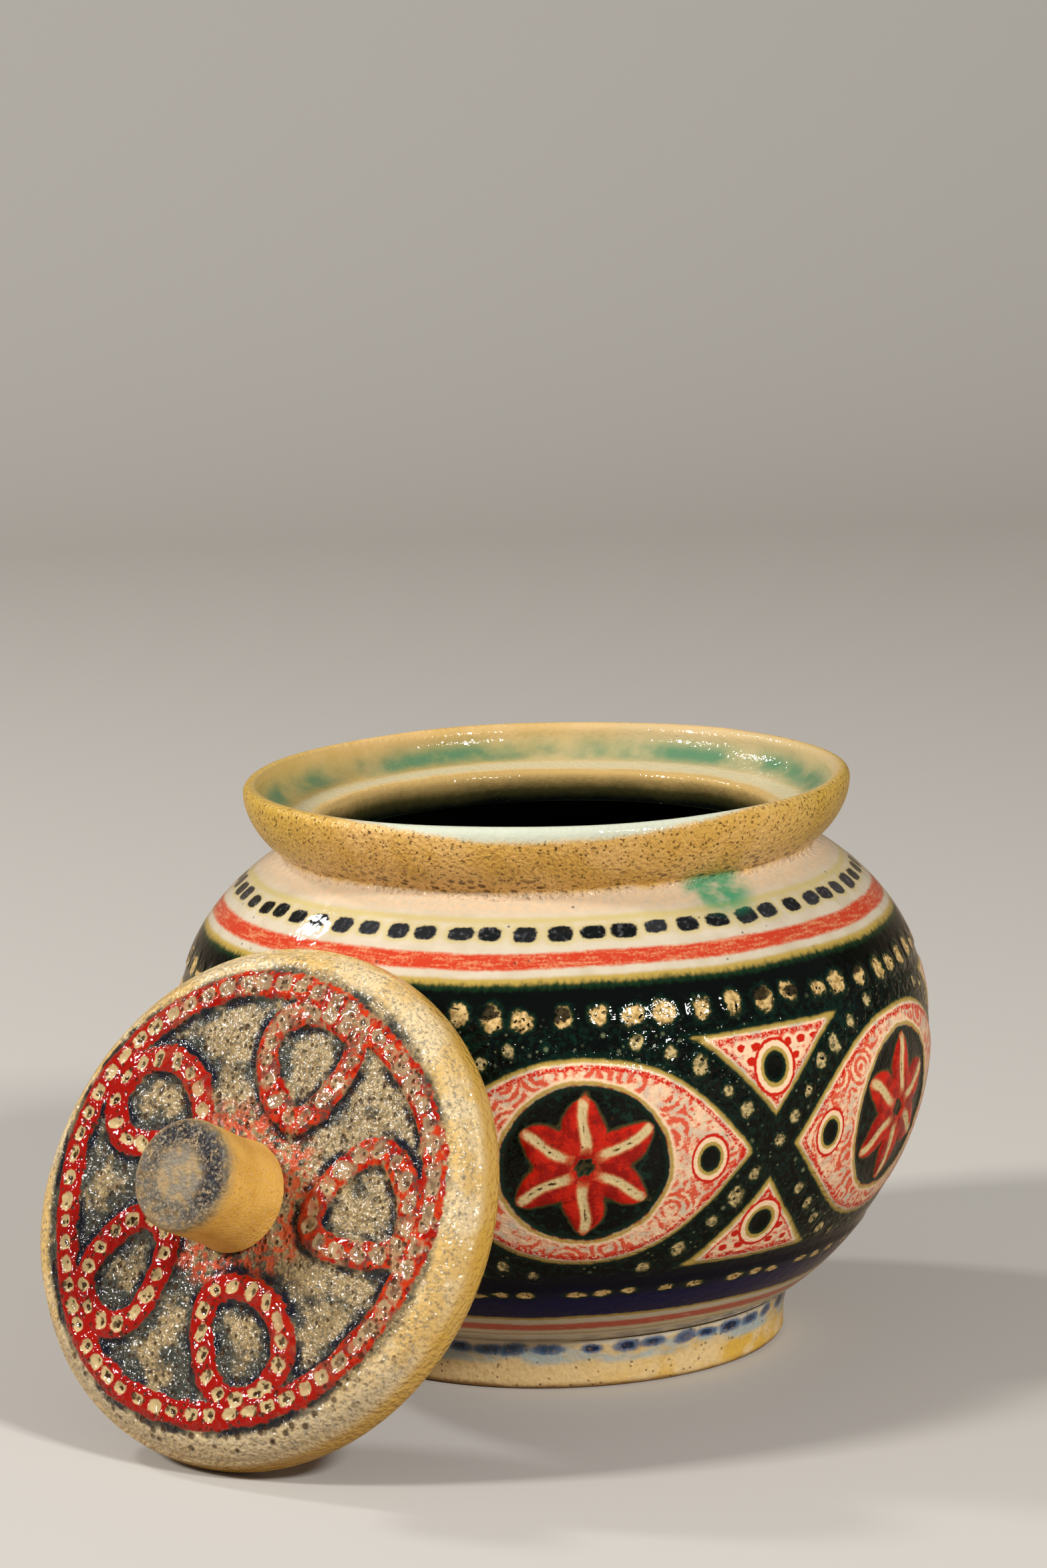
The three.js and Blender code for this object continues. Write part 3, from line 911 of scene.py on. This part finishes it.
def shoulder_layers(paint, level):
    """Cream shoulder with a dotted line of dark dabs, a red stripe and an olive line"""
    cream = paint.mix(paint.noise(5).rise(0.4, 0.7), CREAM, SHADED_CREAM)
    paint.cover(level.rise(GROUND_TOP - 0.5, GROUND_TOP + 0.3), cream)
    rosy = paint.mix(paint.noise(0.9, detail=5, seed=3.0).rise(0.3, 0.8), ROSY_BEIGE, SHADED_CREAM)
    paint.cover(level.rise(ROSY_LEVEL + 0.1, ROSY_LEVEL + 1.7), rosy)
    paint.cover(level.within(GROUND_TOP - 0.6, GROUND_TOP + 0.6, 0.35), OLIVE)
    dash = paint.field("dash") + paint.wobble(0.7, 0.1)
    paint.cover(level.within(ROSY_LEVEL - 0.4, ROSY_LEVEL + 0.4, 0.35) * 0.75, OLIVE_PALE)
    paint.cover(dash.rise(-0.7, -0.1) * 0.6, OLIVE_PALE)
    ink = paint.mix(paint.field("dash_tone"), CHARCOAL, BLACK_GREEN)
    ink = paint.mix(paint.noise(0.9).rise(0.5, 0.8), ink, PEWTER)
    paint.cover(dash.rise(-0.1, 0.14), ink)
    grain = paint.noise(0.5, detail=4, roughness=0.65)
    brush = paint.noise(0.45, place=paint.stretched(0.12, 0.12, 1.0), detail=3)
    open_grain = grain * 0.5 + brush * 0.5 + paint.wobble(9, 0.03)
    stripe = level.within(*RED_STRIPE, 0.3)
    paint.cover(stripe * 0.85, STRIPE_PALE)
    paint.cover(stripe * open_grain.rise(0.38, 0.54) * 0.9, STRIPE_RED)
    specks = paint.specks(3.2, 0.26, soft=0.03, rare=0.5)
    paint.cover(specks * level.rise(GROUND_TOP - 0.1, GROUND_TOP + 0.9) * 0.7, CHARCOAL)


def dark_band_layers(paint, level):
    """The black-green ground with its feathered green edge, green mottles and pale dots"""
    streaks = paint.noise(0.8, place=paint.stretched(1.0, 1.0, 0.12))
    edge = level + streaks * 1.6
    paint.steps(
        edge,
        (GROUND_TOP + 1.1, GROUND_TOP - 0.1, FRINGE_GREEN),
        (GROUND_TOP + 0.2, GROUND_TOP - 0.8, BLACK_GREEN),
    )
    below_dots = level.rise(DOT_LEVEL + 0.8, DOT_LEVEL - 3.7)
    cloud = paint.noise(1.3, detail=5, roughness=0.75) + paint.wobble(8, 0.05)
    paint.cover(cloud.rise(0.48, 0.62) * below_dots * 0.7, MOTTLE_GREEN)
    for spacing, radius in ((1.2, 0.2), (2.3, 0.4)):
        flecks = paint.specks(spacing, radius, soft=0.1, rare=0.3)
        paint.cover(flecks * below_dots * 0.75, FLECK)
    pale_dabs(paint, "dot", 0.2, (DOT_CREAM, DOT_SHADE))
    # About half the dots get black-green over their upper part.
    dot_tops_darkened = paint.field("dot_cover") + paint.wobble(0.8, 0.3)
    paint.cover(dot_tops_darkened.rise(-0.05, 0.25) * 0.93, BLACK_GREEN)


def pale_dabs(paint, field, ragged, tints):
    """Pale dabs left open in a dark ground, each with a soft dark green rim and a few pits"""
    dab = paint.field(field) + paint.wobble(0.8, 1.2 * ragged) + paint.wobble(2.2, 1.4 * ragged)
    paint.cover(dab.rise(-0.5, -0.02), DEEP_GREEN)
    paint.cover(dab.rise(-0.12, 0.1) * 0.8, DARK_OLIVE)
    tint = paint.mix(paint.noise(0.9, detail=4).rise(0.42, 0.62), *tints)
    paint.cover(dab.rise(0.02, 0.3), tint)
    pits = paint.noise(0.7, seed=3.0, detail=4).rise(0.57, 0.64)
    paint.cover(pits * dab.rise(0.0, 0.2), BLACK_GREEN)


def frieze_layers(paint):
    """Cream panels with red stipple, olive outlines, red flowers, ring eyes and strokes"""
    panel = paint.field("panel") + paint.wobble(1.3, 0.14) + paint.wobble(8, 0.2)
    paint.steps(panel, (-1.7, -0.6, DEEP_GREEN), (-0.85, -0.2, OLIVE))
    cream = paint.mix(paint.noise(2.5).rise(0.4, 0.65), PANEL_CREAM, CREAM)
    paint.cover(panel.rise(-0.2, 0.35), cream)
    grain = paint.noise(0.45, detail=4, roughness=0.65)
    scallops = paint.rings(5.4, 1.25) * paint.noise(5, detail=3, seed=7.0).rise(0.36, 0.56)
    smudge = paint.noise(1.2, detail=5, roughness=0.75, seed=2.0)
    marks = scallops * 0.24 + smudge * 0.9 + grain * 0.5
    field = panel.rise(0.3, 0.9)
    paint.cover(marks.rise(0.62, 0.8) * field * 0.42, STIPPLE_PALE)
    paint.cover(marks.rise(0.75, 0.87) * field * 0.9, STIPPLE_RED)
    line = panel.within(0.45, 1.3, 0.2)
    paint.cover(line * grain.rise(0.38, 0.54), RED)
    stroke = paint.field("stroke") + paint.wobble(0.6, 0.1)
    clear = stroke.rise(-0.9, -0.4) * panel.rise(0.6, 1.0)
    paint.cover(clear * 0.8, PANEL_CREAM)
    paint.cover(stroke.rise(-0.1, 0.15) * panel.rise(0.5, 0.9), RED)
    ring_eyes(paint)
    flowers(paint, grain)
    pinholes = paint.specks(1.8, 0.2, soft=0.06, rare=0.4)
    paint.cover(pinholes * field * 0.7, PIT_BROWN)
    pale_dabs(paint, "bead", 0.2, (BEAD, BEAD_SHADE))


def ring_eyes(paint):
    eye = paint.field("eye") + paint.wobble(0.7, 0.05)
    paint.steps(
        eye,
        (-0.93, -0.85, RED), (-0.72, -0.62, PANEL_CREAM), (-0.36, -0.26, OLIVE),
        (-0.12, 0.05, DEEP_GREEN), (0.1, 0.3, BLACK_GREEN),
    )


def flowers(paint, grain):
    flower = paint.field("flower") + paint.wobble(1.2, 0.14) + paint.wobble(6, 0.4)
    petal = paint.field("petal") + paint.wobble(0.9, 0.16) + paint.wobble(3.5, 0.2)
    slit = paint.field("slit") + paint.wobble(0.6, 0.1) + paint.wobble(3.0, 0.15)
    inside = flower.rise(0.6, 1.2)
    paint.cover(flower.within(-1.2, -0.6, 0.3), PANEL_CREAM)
    paint.cover(flower.within(-0.7, -0.1, 0.25), OLIVE)
    paint.steps(flower, (-0.3, 0.2, DEEP_GREEN), (0.4, 1.1, BLACK_GREEN))
    paint.cover(inside * paint.noise(1.2, detail=5, seed=3.0).rise(0.52, 0.62) * 0.8, MOTTLE_GREEN)
    paint.cover(inside * petal.rise(-0.55, -0.1) * 0.8, DARK_OLIVE)
    patches = (paint.noise(2.6, detail=4, seed=6.0) + grain * 0.4).rise(0.6, 0.8)
    red = paint.mix(patches, RED, DEEP_RED)
    painted = inside * petal.rise(-0.1, 0.45)
    paint.cover(painted, red)
    paint.cover(painted * slit.rise(-0.4, 0.0) * 0.6, STRIPE_PALE)
    paint.cover(painted * slit.rise(-0.1, 0.3), SLIT_CREAM)
    paint.cover(slit.rise(0.5, 0.8) * 0.7, OLIVE)
    crack = slit.rise(0.55, 0.75) * paint.noise(1.1, detail=4, seed=5.0).rise(0.46, 0.54)
    paint.cover(crack, PIT_BROWN)


def lower_layers(paint, level):
    """Blue-black band with pale dashes, then fine brick and grey stripes down to the foot"""
    paint.cover(level.rise(NAVY_TOP + 0.8, NAVY_TOP - 0.8), NAVY_BLACK)
    blue = (level + paint.wobble(12, 1.2)).rise(NAVY_TOP - 2.4, NAVY_TOP - 5.4)
    paint.cover(blue, NAVY)
    pale_dabs(paint, "navy_dash", 0.14, (DOT_CREAM, DOT_SHADE))
    paint.steps(
        level,
        (STRIPES_TOP + 0.5, STRIPES_TOP, OLIVE),
        (STRIPES_TOP, STRIPES_TOP - 0.5, GREY_CREAM),
    )
    brush = paint.noise(0.8, place=paint.stretched(0.25, 0.25, 1.0), detail=4)
    paint.cover(level.within(*BRICK_STRIPE, 0.3) * brush.rise(0.2, 0.42) * 0.9, BRICK)
    paint.cover(level.within(*GREY_STRIPE, 0.2) * 0.7, GREY_BROWN)
    paint.cover(level.rise(GREY_FOOT_TOP, GREY_FOOT_TOP - 0.5) * 0.7, GREY_BROWN)


def bowl_glaze():
    paint = Paint("bowl_glaze")
    level = paint.z + paint.wobble(22, 0.3) + paint.wobble(1.2, 0.1)
    paint.base = BLACK_GREEN
    shoulder_layers(paint, level)
    dark_band_layers(paint, level)
    frieze_layers(paint)
    lower_layers(paint, level)
    smear = paint.blob(GREEN_SMEAR, 8.5) * paint.noise(4, seed=2.0).rise(0.3, 0.6)
    paint.cover(smear * 0.9, SMEAR_GREEN)
    # The inside is painted olive near the throat and black-green lower down: painted shade inside the
    # jar.
    deep = paint.mix(paint.z.rise(80, 93), BLACK_GREEN, THROAT_OLIVE)
    paint.cover(paint.field("inside"), deep)
    rough_panel = paint.field("panel").rise(-0.3, 0.5)
    peel = paint.noise(1.6, detail=1) * 0.1
    grain = paint.noise(0.6, detail=1, seed=2.0) * rough_panel * 0.15
    mottled = paint.z.within(24, 66, 3) * (1 - rough_panel)
    craters = paint.noise(1.3, detail=1, seed=9.0).rise(0.52, 0.7) * mottled * -0.14
    crease = paint.z.rise(84.4, 86.2) * (1 - paint.field("inside"))
    ripple = crease * paint.noise(1.1, detail=1, seed=4.0) * 0.9
    pressed = paint.math("MAXIMUM", paint.field("dot"), paint.field("bead")).rise(-0.8, -0.1)
    pricks = pressed * paint.noise(1.1, detail=1, seed=11.0) * 0.25
    roughness = 0.06 + rough_panel * 0.08 + paint.wobble(4, 0.01)
    return paint.finish(roughness, peel + grain + craters + ripple + pricks)


def collar_glaze():
    """Mustard glaze, pitted outside, with green brushed round the foot of the gallery wall"""
    paint = Paint("collar_glaze")
    along = paint.field("walked") + paint.wobble(9, 0.5) + paint.wobble(1.3, 0.15)
    cloud = paint.noise(9, detail=4).rise(0.4, 0.62)
    paint.base = paint.mix(cloud, COLLAR_BEIGE, COLLAR_MUSTARD)
    ends = abs(side_place(paint)).rise(30, 50)
    paint.cover(ends * along.rise(2, 5) * 0.75, COLLAR_OLIVE)
    outside = along.rise(LIP_WALK + 0.6, LIP_WALK - 0.9)
    mottle = paint.noise(0.6, detail=4, roughness=0.7, seed=1.0).rise(0.45, 0.68)
    paint.cover(mottle * outside * 0.55, COLLAR_SHADE)
    pale = (side_place(paint) + paint.wobble(12, 14)).rise(-25, 20)
    inwards = along.rise(LIP_WALK - 1.0, LIP_WALK + 1.6)
    paint.cover(inwards * (0.3 + pale * 0.55), COLLAR_CREAM)
    streak = (paint.noise(11, detail=4) + paint.wobble(1.2, 0.02)).rise(0.34, 0.6)
    paint.cover(along.within(*GREEN_WALK, 2.2) * (0.35 + streak * 0.55), GALLERY_GREEN)
    paint.cover(along.within(*LEDGE_WALK, 0.9), LEDGE_CREAM)
    # Down the throat the beige gives way to olive and then black-green: painted shade deepening into the
    # jar.
    throat = along - THROAT_WALK
    paint.steps(throat, (0.0, 1.2, THROAT_BEIGE), (1.6, 5.2, THROAT_OLIVE), (4.2, 7.0, BLACK_GREEN))
    # Painted reflection: a pale blue band along the lip on the side facing the camera, widest at its
    # middle. The glaze there is also smoother and has no pinholes.
    front = paint.blob(FRONT_LIP, 44, soft=0.85)
    sheen_edge = along + front * 3.4 + paint.wobble(0.8, 0.2)
    over_lip = sheen_edge.rise(LIP_WALK - 0.4, LIP_WALK + 1.0)
    glassy_sheen = over_lip * along.rise(24, 21) * front.rise(0.0, 0.25)
    open_grain = 1 - glassy_sheen
    sunk = paint.noise(0.6, detail=2, seed=6.0).rise(0.6, 0.67)
    fine = (paint.specks(1.2, 0.2, soft=0.1, rare=0.6) + sunk) * outside * open_grain
    coarse = paint.specks(1.6, 0.46, soft=0.12, place=paint.stretched(0.8, 0.8, 1.3), rare=0.85)
    coarse = coarse * along.rise(8.0, 2.0) * along.rise(0.0, 1.0)
    paint.cover(fine * 0.8, PINHOLE)
    paint.cover(coarse * 0.9, PINHOLE)
    paint.cover(glassy_sheen * 0.85, GLASSY_SHEEN_BLUE)
    crease = (paint.field("walked") + paint.wobble(5, 0.5)).rise(1.4, 0.0)
    paint.cover(crease, ROSY_BEIGE)
    fringe = paint.blob(GREEN_SMEAR, 7.5) * along.rise(2.8, 0.8)
    paint.cover(fringe * 0.8, SMEAR_GREEN)
    peel = paint.noise(1.1, detail=1) * (0.13 + crease * 0.8)
    pits = fine * -0.16 - coarse * 0.34
    sand = paint.noise(0.7, detail=1) * (0.12 + outside * open_grain * 0.28)
    roughness = 0.06 + outside * open_grain * (1 - crease) * 0.14
    return paint.finish(roughness, peel + pits + sand)


def side_place(paint):
    """How far a place lies to the right of the jar's middle, as the camera sees it"""
    return paint.x * math.cos(CAMERA_TURN) + paint.y * math.sin(CAMERA_TURN)


def foot_glaze():
    paint = Paint("foot_glaze")
    level = paint.z + paint.wobble(11, 0.5) + paint.wobble(1.2, 0.15)
    mustard = paint.mix(paint.noise(6).rise(0.42, 0.6), FOOT_MUSTARD, FOOT_CREAM)
    paint.base = paint.mix(side_place(paint).rise(-5, 30), FOOT_CREAM, mustard)
    wash = paint.noise(4, place=paint.stretched(0.5, 0.5, 1.0), detail=4).rise(0.34, 0.54)
    paint.cover(level.within(4.6, 7.6, 0.7) * wash * 0.85, PALE_BLUE)
    paint.cover(level.rise(7.5, 8.3), GREY_CREAM)
    dash = paint.field("foot_dash") + paint.wobble(0.9, 0.15) + paint.wobble(3, 0.1)
    paint.cover(dash.rise(-0.6, 0.1) * 0.85, DASH_BLUE)
    paint.cover(dash.rise(0.1, 0.5) * (0.3 + paint.field("foot_dash_tone")), BLUE_BLACK)
    paint.cover(level.rise(1.2, 0.3) * 0.7, FOOT_BROWN)
    sandy = paint.noise(0.6, detail=4, roughness=0.7, seed=5.0).rise(0.46, 0.64)
    paint.cover(sandy * level.rise(8.2, 6.0) * 0.4, FOOT_SHADE)
    specks = paint.specks(1.3, 0.22, soft=0.08, rare=0.6)
    paint.cover(specks * 0.6, PIT_BROWN)
    # The jar's inside floor is painted black-green, darker towards the middle: painted shade inside the
    # jar.
    floor = paint.radius.rise(WELL_RADIUS + 1, WELL_RADIUS) * paint.z.rise(4.5, 5.5)
    middle_shade = (paint.radius + paint.wobble(9, 5)).rise(22, 6)
    paint.cover(floor, paint.mix(middle_shade, BLACK_GREEN, DEEP_GREEN))
    roughness = 0.08 + level.rise(4, 1) * 0.3
    return paint.finish(roughness, paint.noise(1.0, detail=1) * 0.15 - specks * 0.1)


def lid_glaze():
    """Sandy pitted ground under blue-green washes, raised red ribbons with pale cells, mustard edge"""
    paint = Paint("lid_glaze", specular=0.35)
    fade_way = paint.x * FADE_WAY[0] + paint.y * FADE_WAY[1]
    fade = (fade_way + paint.wobble(9, 7)).rise(-14, 22)
    ribbon = paint.field("ribbon") + paint.wobble(1.3, 0.35) + paint.wobble(5, 0.5)
    lid_ground(paint, ribbon, fade)
    lid_edge(paint)
    lid_ribbons(paint, ribbon, fade)
    top = paint.z.rise(8.0, 10.0)
    fine = paint.specks(1.1, 0.26, soft=0.1, place=paint.stretched(1.0, 0.85, 1.0), rare=0.7)
    coarse = paint.specks(1.9, 0.46, soft=0.08, place=paint.stretched(1.1, 0.85, 1.0), rare=0.3)
    deep = paint.specks(2.2, 0.55, soft=0.1, rare=0.8) * lower_rim(paint)
    rim = paint.radius.rise(RIM_RADIUS - 1.0, RIM_RADIUS + 1.0)
    small = (fine + coarse) * (1 - rim * 0.55)
    pits = (small + deep) * top
    paint.cover(pits * 0.85, PIT_BROWN)
    paint.cover(paint.z.rise(8.0, 5.0) * 0.8, LID_SIDE)
    wet = ribbon.rise(-0.6, 0.3) * (1 - rim)
    lumps = paint.noise(1.0, detail=1) * (0.7 - rim * 0.1 - wet * 0.5)
    ripples = paint.noise(2.2, detail=1, seed=7.0) * wet
    prickle = paint.noise(0.5, detail=0, seed=1.0) * (1 - wet) * 0.1
    dull = ribbon.rise(0.0, -0.8) * (1 - rim) * fade * 0.16
    roughness = 0.05 + dull + paint.z.rise(6.0, 3.5) * 0.15
    return paint.finish(roughness, lumps + ripples + prickle - pits * 0.3)


def lid_ground(paint, ribbon, fade):
    """Sand-coloured ground, speckled, with dark washes that gather along the ribbons"""
    paint.base = paint.mix(paint.noise(2.4, detail=4).rise(0.38, 0.6), LID_GROUND, LID_SAND)
    speckle = paint.noise(0.55, detail=4, roughness=0.7).rise(0.46, 0.62)
    paint.cover(speckle * 0.75, LID_GROUND_BLUE)
    sand = paint.noise(0.35, detail=2, seed=5.0).rise(0.56, 0.66)
    paint.cover(sand * 0.6, LID_CREAM)
    gathered = ribbon.rise(-3.2, -0.6) * 0.1
    wash = paint.noise(6, detail=4) + gathered - fade * 0.12 + paint.wobble(1.1, 0.04)
    paint.cover(wash.rise(0.42, 0.58) * 0.85, TEAL_NAVY)
    mottle = paint.noise(1.3, detail=4, seed=4.0).rise(0.42, 0.56)
    middle = (paint.radius + paint.wobble(6, 2.0)).rise(17.5, 13.0)
    paint.cover(middle * mottle * 0.9, ORANGE_RED)


def lid_edge(paint):
    """The broad rounded edge, cream to mustard with fine grey specks"""
    out = paint.radius + paint.wobble(5, 0.6) + paint.wobble(0.8, 0.2)
    edge = out.rise(RIM_RADIUS - 0.2, RIM_RADIUS + 1.6)
    paint.cover(edge, paint.mix(paint.noise(7).rise(0.4, 0.6), LID_MUSTARD, LID_CREAM))
    # Greyer cream on the lower part of the edge, near the table: painted shade.
    paint.cover(edge * lower_rim(paint) * 0.75, LID_GREY_CREAM)
    specks = paint.noise(0.6, detail=4, roughness=0.75, seed=8.0).rise(0.5, 0.6)
    paint.cover(edge * specks * paint.z.rise(4.5, 8.5) * 0.7, GREY_BLUE_SPECK)


def lower_rim(paint):
    """1 on the part of the lid's edge that it leans on"""
    low = (paint.y + paint.wobble(8, 5)).rise(-18, -32)
    return low * paint.radius.rise(RIM_RADIUS - 1.0, RIM_RADIUS + 1.0)


def lid_ribbons(paint, ribbon, fade):
    """Glossy red ribbons that fade to one side, edged in dark blue ink and painted shade, with a row of
    cells
    """
    rim_side = paint.radius.rise(RIM_RADIUS - 1.4, RIM_RADIUS - 0.4) * fade.rise(0.1, 0.5)
    ground = paint.base
    # Dark blue along the ribbons' edges: ink, together with painted shade beside the raised ribbons.
    ink = paint.noise(4, detail=4, seed=6.0).rise(0.4, 0.56) * (1 - rim_side)
    paint.cover(ribbon.within(-1.1, 0.3, 0.4) * ink * 0.95, INK_AND_SHADE_BLUE)
    patches = paint.noise(1.7, detail=3).rise(0.4, 0.58)
    red = paint.mix(fade * patches, LID_RED, FADED_RED)
    worn = fade * paint.noise(1.4, detail=5, seed=9.0).rise(0.46, 0.58)
    paint.cover(ribbon.rise(0.1, 0.4) * (1 - worn * 0.8), red)
    cell = paint.field("cell") + paint.wobble(0.8, 0.2) + fade * 0.16
    faded_cell = paint.mix(0.65, ground, CELL_GREY)
    lost = fade * paint.noise(2.6, detail=4, seed=12.0).rise(0.48, 0.6) * 0.75
    kept = cell.rise(-0.1, 0.15) * (1 - lost)
    paint.cover(kept, paint.mix(fade, CELL_CREAM, faded_cell))
    pit = (cell + paint.wobble(0.7, 0.25, seed=2.0)).rise(0.5, 0.66)
    pitted = paint.field("cell_tone").rise(0.35, 0.45) * (1 - fade * 0.6)
    paint.cover(pit * pitted, PIT_BROWN)


def knob_glaze():
    """Matte mustard sides, and a grey top with a glossy ring of dark specks near its edge"""
    paint = Paint("knob_glaze", specular=0.35)
    paint.base = paint.mix(paint.noise(5).rise(0.4, 0.65), KNOB_MUSTARD, KNOB_OCHRE)
    grain = paint.noise(0.45, detail=4, roughness=0.7)
    paint.cover(grain.rise(0.5, 0.64) * 0.45, LID_CREAM)
    level = paint.z + paint.wobble(2.5, 0.4) + paint.wobble(0.6, 0.3)
    paint.cover(level.rise(KNOB_TOP_LEVEL - 3.4, KNOB_TOP_LEVEL - 0.8) * 0.6, KNOB_SAND)
    top = level.rise(KNOB_TOP_LEVEL - 1.4, KNOB_TOP_LEVEL - 0.1)
    paint.cover(top, paint.mix(paint.noise(1.6, detail=3).rise(0.42, 0.6), KNOB_GREY, KNOB_SAND))
    ring = (paint.radius + paint.wobble(5, 0.9)).within(4.6, 8.7, 1.3)
    dots = paint.specks(0.9, 0.16, soft=0.12, rare=0.5)
    paint.cover(dots * (1 - top) * 0.45, PINHOLE)
    crescent = (paint.x * 0.6 + paint.y + paint.wobble(4, 4)).rise(-9, 3)
    specks = paint.noise(0.6, detail=4, roughness=0.75, seed=3.0).rise(0.4, 0.5)
    paint.cover(top * ring * (0.45 + crescent * 0.55) * specks, INK_AND_SHADE_BLUE)
    white = paint.noise(0.5, detail=3, roughness=0.7, seed=6.0).rise(0.56, 0.64)
    paint.cover(top * white * 0.45, LID_GREY_CREAM)
    bumps = paint.noise(0.9, detail=1) * (0.12 + top * 0.5)
    return paint.finish(0.5 - top * 0.45, bumps + grain * 0.25)


# The floor, the lights and the camera

CAMERA_TURN = math.radians(34.5)         # round the jar from -Y towards +X
CAMERA_DISTANCE = 1009.29
CAMERA_HEIGHT = 279.18
CAMERA_YAW = math.radians(-0.2144)
CAMERA_PITCH = math.radians(10.28)
CAMERA_ROLL = math.radians(-1.711)
LENS = 137.93
SENSOR = 36.0

FLOOR_PALE = colour(194, 191, 186)
SURROUNDINGS = colour(158, 142, 122)     # what the floor and backdrop send back to the object
FLOOR_REACH = 4.0                        # metres from here on
BACKDROP_AWAY = 1.5
BACKDROP_ROUND = 0.5
BACKDROP_TOP = 2.6

# Each lamp: its place as the camera sees it (right, away, up), its width, its watts and its tint
LAMPS = {
    "key_right": ((0.72, -1.05, 0.85), 0.2, 18, (1.0, 0.98, 0.95)),
    "key_left": ((-1.3, -0.45, 0.96), 0.24, 21, (1.0, 0.97, 0.93)),
    "back_left": ((-0.84, 0.53, 0.92), 0.13, 5.5, (1.0, 1.0, 1.0)),
}
LAMP_AIM = Vector((0.0, -0.02, 0.05))
WORLD_TINT = (1.0, 0.98, 0.95, 1.0)
WORLD_STRENGTH = 0.19


def seen_place(right, away, up):
    """A place given as the camera sees it: to the right, away from the camera, and up, in metres"""
    cos, sin = math.cos(CAMERA_TURN), math.sin(CAMERA_TURN)
    return Vector((right * cos - away * sin, right * sin + away * cos, up))


def make_stage():
    """A pale floor that curves up into a pale backdrop behind the jar"""
    profile = [(-FLOOR_REACH, 0.0)]
    for turn in np.linspace(0, math.pi / 2, 13):
        away = BACKDROP_AWAY - BACKDROP_ROUND * (1 - math.sin(turn))
        profile.append((away, BACKDROP_ROUND * (1 - math.cos(turn))))
    profile.append((BACKDROP_AWAY, BACKDROP_TOP))
    sides = (-FLOOR_REACH, FLOOR_REACH)
    corners = [tuple(seen_place(right, away, up)) for away, up in profile for right in sides]
    strips = [(2 * n, 2 * n + 1, 2 * n + 3, 2 * n + 2) for n in range(len(profile) - 1)]
    mesh = bpy.data.meshes.new("floor")
    mesh.from_pydata(corners, [], strips)
    mesh.polygons.foreach_set("use_smooth", [True] * len(mesh.polygons))
    floor = bpy.data.objects.new("floor", mesh)
    bpy.context.scene.collection.objects.link(floor)
    material = bpy.data.materials.new("pale_floor")
    material.use_nodes = True
    tree = material.node_tree
    shader = tree.nodes["Principled BSDF"]
    shader.inputs["Roughness"].default_value = 0.6
    shade = tree.nodes.new("ShaderNodeMix")
    shade.data_type = "RGBA"
    shade.inputs[6].default_value = SURROUNDINGS
    shade.inputs[7].default_value = FLOOR_PALE
    light_path = tree.nodes.new("ShaderNodeLightPath")
    tree.links.new(light_path.outputs["Is Camera Ray"], shade.inputs[0])
    tree.links.new(shade.outputs[2], shader.inputs["Base Color"])
    mesh.materials.append(material)


def make_lights():
    for name, (place, width, watts, tint) in LAMPS.items():
        lamp = bpy.data.lights.new(name, "AREA")
        lamp.size = width
        lamp.energy = watts
        lamp.color = tint
        holder = bpy.data.objects.new(name, lamp)
        holder.location = seen_place(*place)
        holder.rotation_euler = (LAMP_AIM - holder.location).to_track_quat("-Z", "Y").to_euler()
        bpy.context.scene.collection.objects.link(holder)
    world = bpy.data.worlds.new("studio")
    world.use_nodes = True
    background = world.node_tree.nodes["Background"]
    background.inputs["Color"].default_value = WORLD_TINT
    background.inputs["Strength"].default_value = WORLD_STRENGTH
    bpy.context.scene.world = world
    bpy.context.scene.view_settings.view_transform = "Standard"


def make_camera():
    ahead = Vector((
        math.sin(CAMERA_YAW) * math.cos(CAMERA_PITCH),
        math.cos(CAMERA_YAW) * math.cos(CAMERA_PITCH),
        -math.sin(CAMERA_PITCH),
    ))
    level_right = ahead.cross(Vector((0, 0, 1))).normalized()
    level_up = level_right.cross(ahead)
    right = math.cos(CAMERA_ROLL) * level_right + math.sin(CAMERA_ROLL) * level_up
    up = -math.sin(CAMERA_ROLL) * level_right + math.cos(CAMERA_ROLL) * level_up
    facing = Matrix((right, up, -ahead)).transposed().to_4x4()
    place = Matrix.Translation(Vector((0, -CAMERA_DISTANCE, CAMERA_HEIGHT)) * MM)
    lens = bpy.data.cameras.new("camera")
    lens.sensor_width = SENSOR
    lens.lens = LENS
    camera = bpy.data.objects.new("camera", lens)
    camera.matrix_world = Matrix.Rotation(CAMERA_TURN, 4, "Z") @ place @ facing
    bpy.context.scene.collection.objects.link(camera)
    bpy.context.scene.camera = camera


make_camera()
make_stage()
make_lights()

jar_pieces = [make_bowl(), make_collar(), make_foot()]
place_on_lid = lid_place()
lid_pieces = [make_lid(place_on_lid), make_knob(place_on_lid)]
for piece in jar_pieces:
    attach(piece, "jar")
for piece in lid_pieces:
    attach(piece, "lid")
